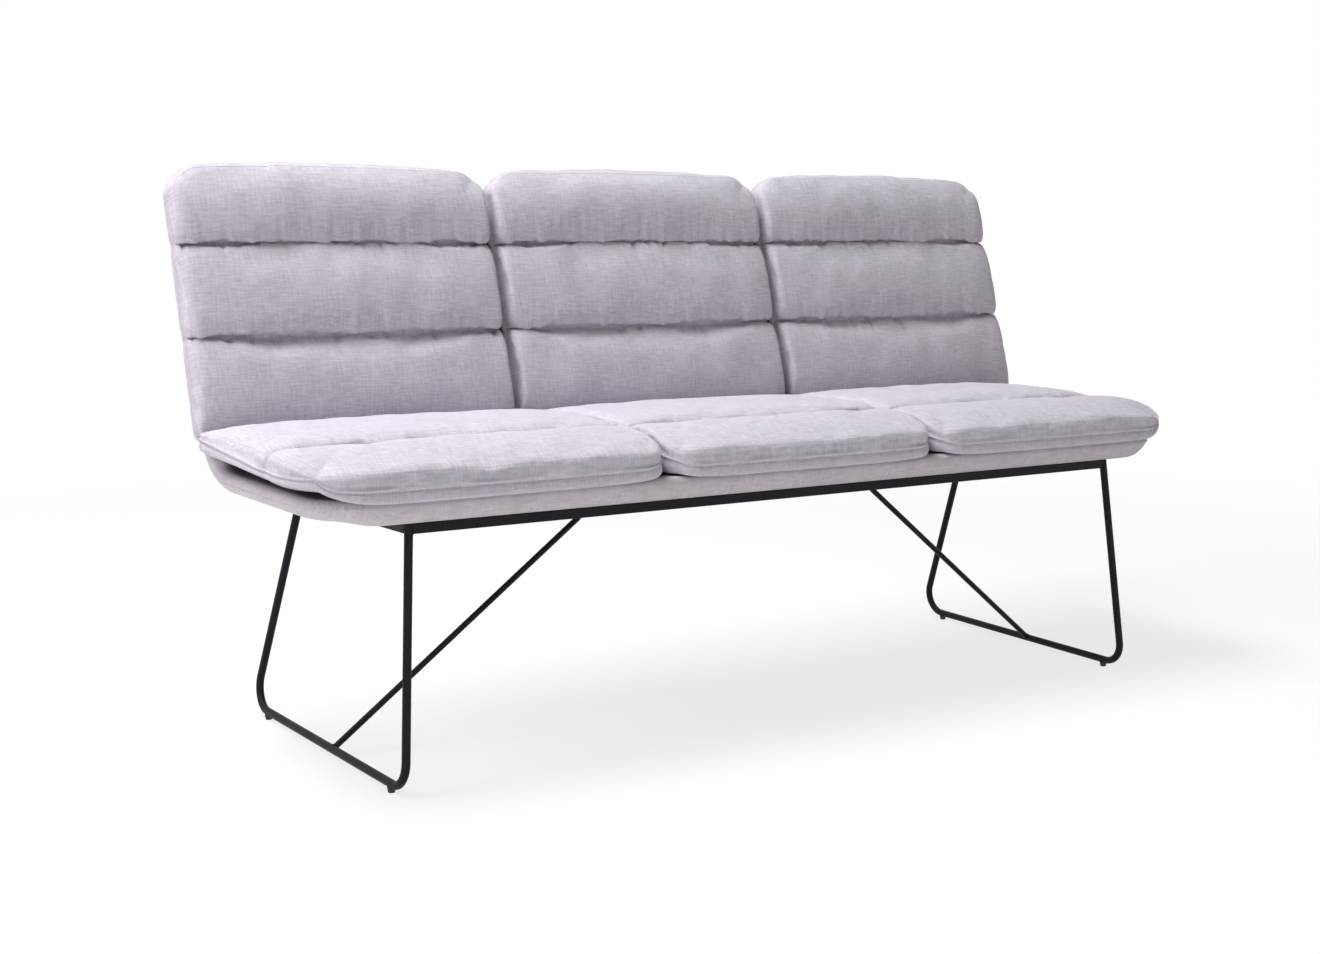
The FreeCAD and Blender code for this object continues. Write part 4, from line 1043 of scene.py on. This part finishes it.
def make_floor():
    mesh = bpy.data.meshes.new("floor")
    corners = [(x * FLOOR_REACH, y * FLOOR_REACH, 0) for x, y in ((-1, -1), (1, -1), (1, 1), (-1, 1))]
    mesh.from_pydata(corners, [], [(0, 1, 2, 3)])
    material = bpy.data.materials.new("pale_floor")
    material.use_nodes = True
    tree = material.node_tree
    tree.nodes.clear()
    matt = tree.nodes.new("ShaderNodeBsdfDiffuse")
    matt.inputs["Color"].default_value = FLOOR_COLOUR
    result = tree.nodes.new("ShaderNodeOutputMaterial")
    mix, glow = white_for_camera(tree, matt, FLOOR_GLOW)
    both = tree.nodes.new("ShaderNodeAddShader")
    faint = tree.nodes.new("ShaderNodeBsdfDiffuse")
    faint.inputs["Color"].default_value = (1 - FLOOR_GLOW, 1 - FLOOR_GLOW, 1 - FLOOR_GLOW, 1)
    tree.links.new(faint.outputs[0], both.inputs[0])
    tree.links.new(glow.outputs[0], both.inputs[1])
    far = tree.nodes.new("ShaderNodeEmission")
    fade = tree.nodes.new("ShaderNodeMixShader")
    place = tree.nodes.new("ShaderNodeTexCoord")
    length = tree.nodes.new("ShaderNodeVectorMath")
    length.operation = "LENGTH"
    tree.links.new(place.outputs["Object"], length.inputs[0])
    ramp = tree.nodes.new("ShaderNodeMapRange")
    ramp.interpolation_type = "SMOOTHSTEP"
    ramp.inputs["From Min"].default_value = FLOOR_FADE[0]
    ramp.inputs["From Max"].default_value = FLOOR_FADE[1]
    tree.links.new(length.outputs["Value"], ramp.inputs["Value"])
    tree.links.new(ramp.outputs[0], fade.inputs[0])
    tree.links.new(both.outputs[0], fade.inputs[1])
    tree.links.new(far.outputs[0], fade.inputs[2])
    tree.links.new(fade.outputs[0], mix.inputs[2])
    tree.links.new(mix.outputs[0], result.inputs["Surface"])
    mesh.materials.append(material)
    floor = bpy.data.objects.new("floor", mesh)
    bpy.context.scene.collection.objects.link(floor)


def make_world():
    world = bpy.data.worlds.new("studio")
    bpy.context.scene.world = world
    world.use_nodes = True
    tree = world.node_tree
    tree.nodes.clear()
    soft = tree.nodes.new("ShaderNodeBackground")
    soft.inputs["Color"].default_value = WORLD_COLOUR
    soft.inputs["Strength"].default_value = WORLD_STRENGTH
    result = tree.nodes.new("ShaderNodeOutputWorld")
    mix, glow = white_for_camera(tree, soft, 1.0)
    tree.links.new(glow.outputs[0], mix.inputs[2])
    tree.links.new(mix.outputs[0], result.inputs["Surface"])


def make_camera():
    data = bpy.data.cameras.new("camera")
    data.lens = CAMERA_LENS
    data.sensor_width = SENSOR_WIDTH
    data.sensor_fit = "HORIZONTAL"
    data.clip_end = CLIP_END
    camera = bpy.data.objects.new("camera", data)
    camera.location = CAMERA_PLACE
    camera.rotation_euler = [math.radians(angle) for angle in CAMERA_TURN]
    bpy.context.scene.collection.objects.link(camera)
    bpy.context.scene.camera = camera


def make_light():
    make_world()
    for name, values in LAMPS.items():
        add_lamp(name, *values)


# Assembly

FRAME_FINISH = {"coat": ("sled_leg", "rail", "end_bar", "cross_bar", "brace", "mounting_tabs"),
                "zinc": ("frame_bolts", "bolt_washers", "tee_nuts"), "glide": ("glide",),
                "plywood": ("shell_plywood",), "strip": ("touch_strips",)}


def finish_nodes(finishes):
    for name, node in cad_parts.items():
        for key, words in FRAME_FINISH.items():
            if any(word in name for word in words):
                for slot in node.material_slots:
                    slot.material = finishes[key]


def add_pads(finishes, stitches):
    thread = {"Pitch": STITCH_PITCH, "Length": STITCH_LENGTH, "Thickness": STITCH_THICKNESS,
              "Finish": finishes["thread"]}
    for row, (kind, form, place) in enumerate((("seat", SEAT_PAD, seat_place()), ("back", BACK_PAD, back_place()))):
        for index, side in enumerate(("left", "middle", "right")):
            node = f"{side}_{kind}_pad"
            low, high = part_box(node + "_cover")
            ends = (float(index == 0), float(index == 2))
            first_x = low[0] + form["end_gaps"][0] * ends[0]
            last_x = high[0] - form["end_gaps"][1] * ends[1]
            width, centre = last_x - first_x, (first_x + last_x) / 2
            outer, inner, rear_left, rear_right = form["corners"]
            corners = [outer if index == 0 or kind == "back" else inner,
                       outer if index == 2 or kind == "back" else inner, rear_left, rear_right]
            spot = Matrix.Translation((centre, 0, 0)) @ place
            piece, lines = pad_piece(node, form, width, corners, ends, spot, finishes, CLOTH_SEED + 10 * row + index)
            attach(piece, "root")
            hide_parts(node + "_cover", node + "_foam")
            seam = run_piece(node + "_stitching", stitches, lines, thread, True)
            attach(seam, "root")


def main():
    bpy.context.scene.view_settings.view_transform = "Standard"
    finishes = make_finishes()
    finish_nodes(finishes)
    stitches = run_tree("stitch_run")
    add_pads(finishes, stitches)
    add_welds(finishes)
    shell = shell_piece(finishes)
    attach(shell, "root")
    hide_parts("shell_inner_cover", "shell_outer_cover", "shell_inner_foam", "shell_outer_foam")
    make_floor()
    make_light()
    make_camera()


main()
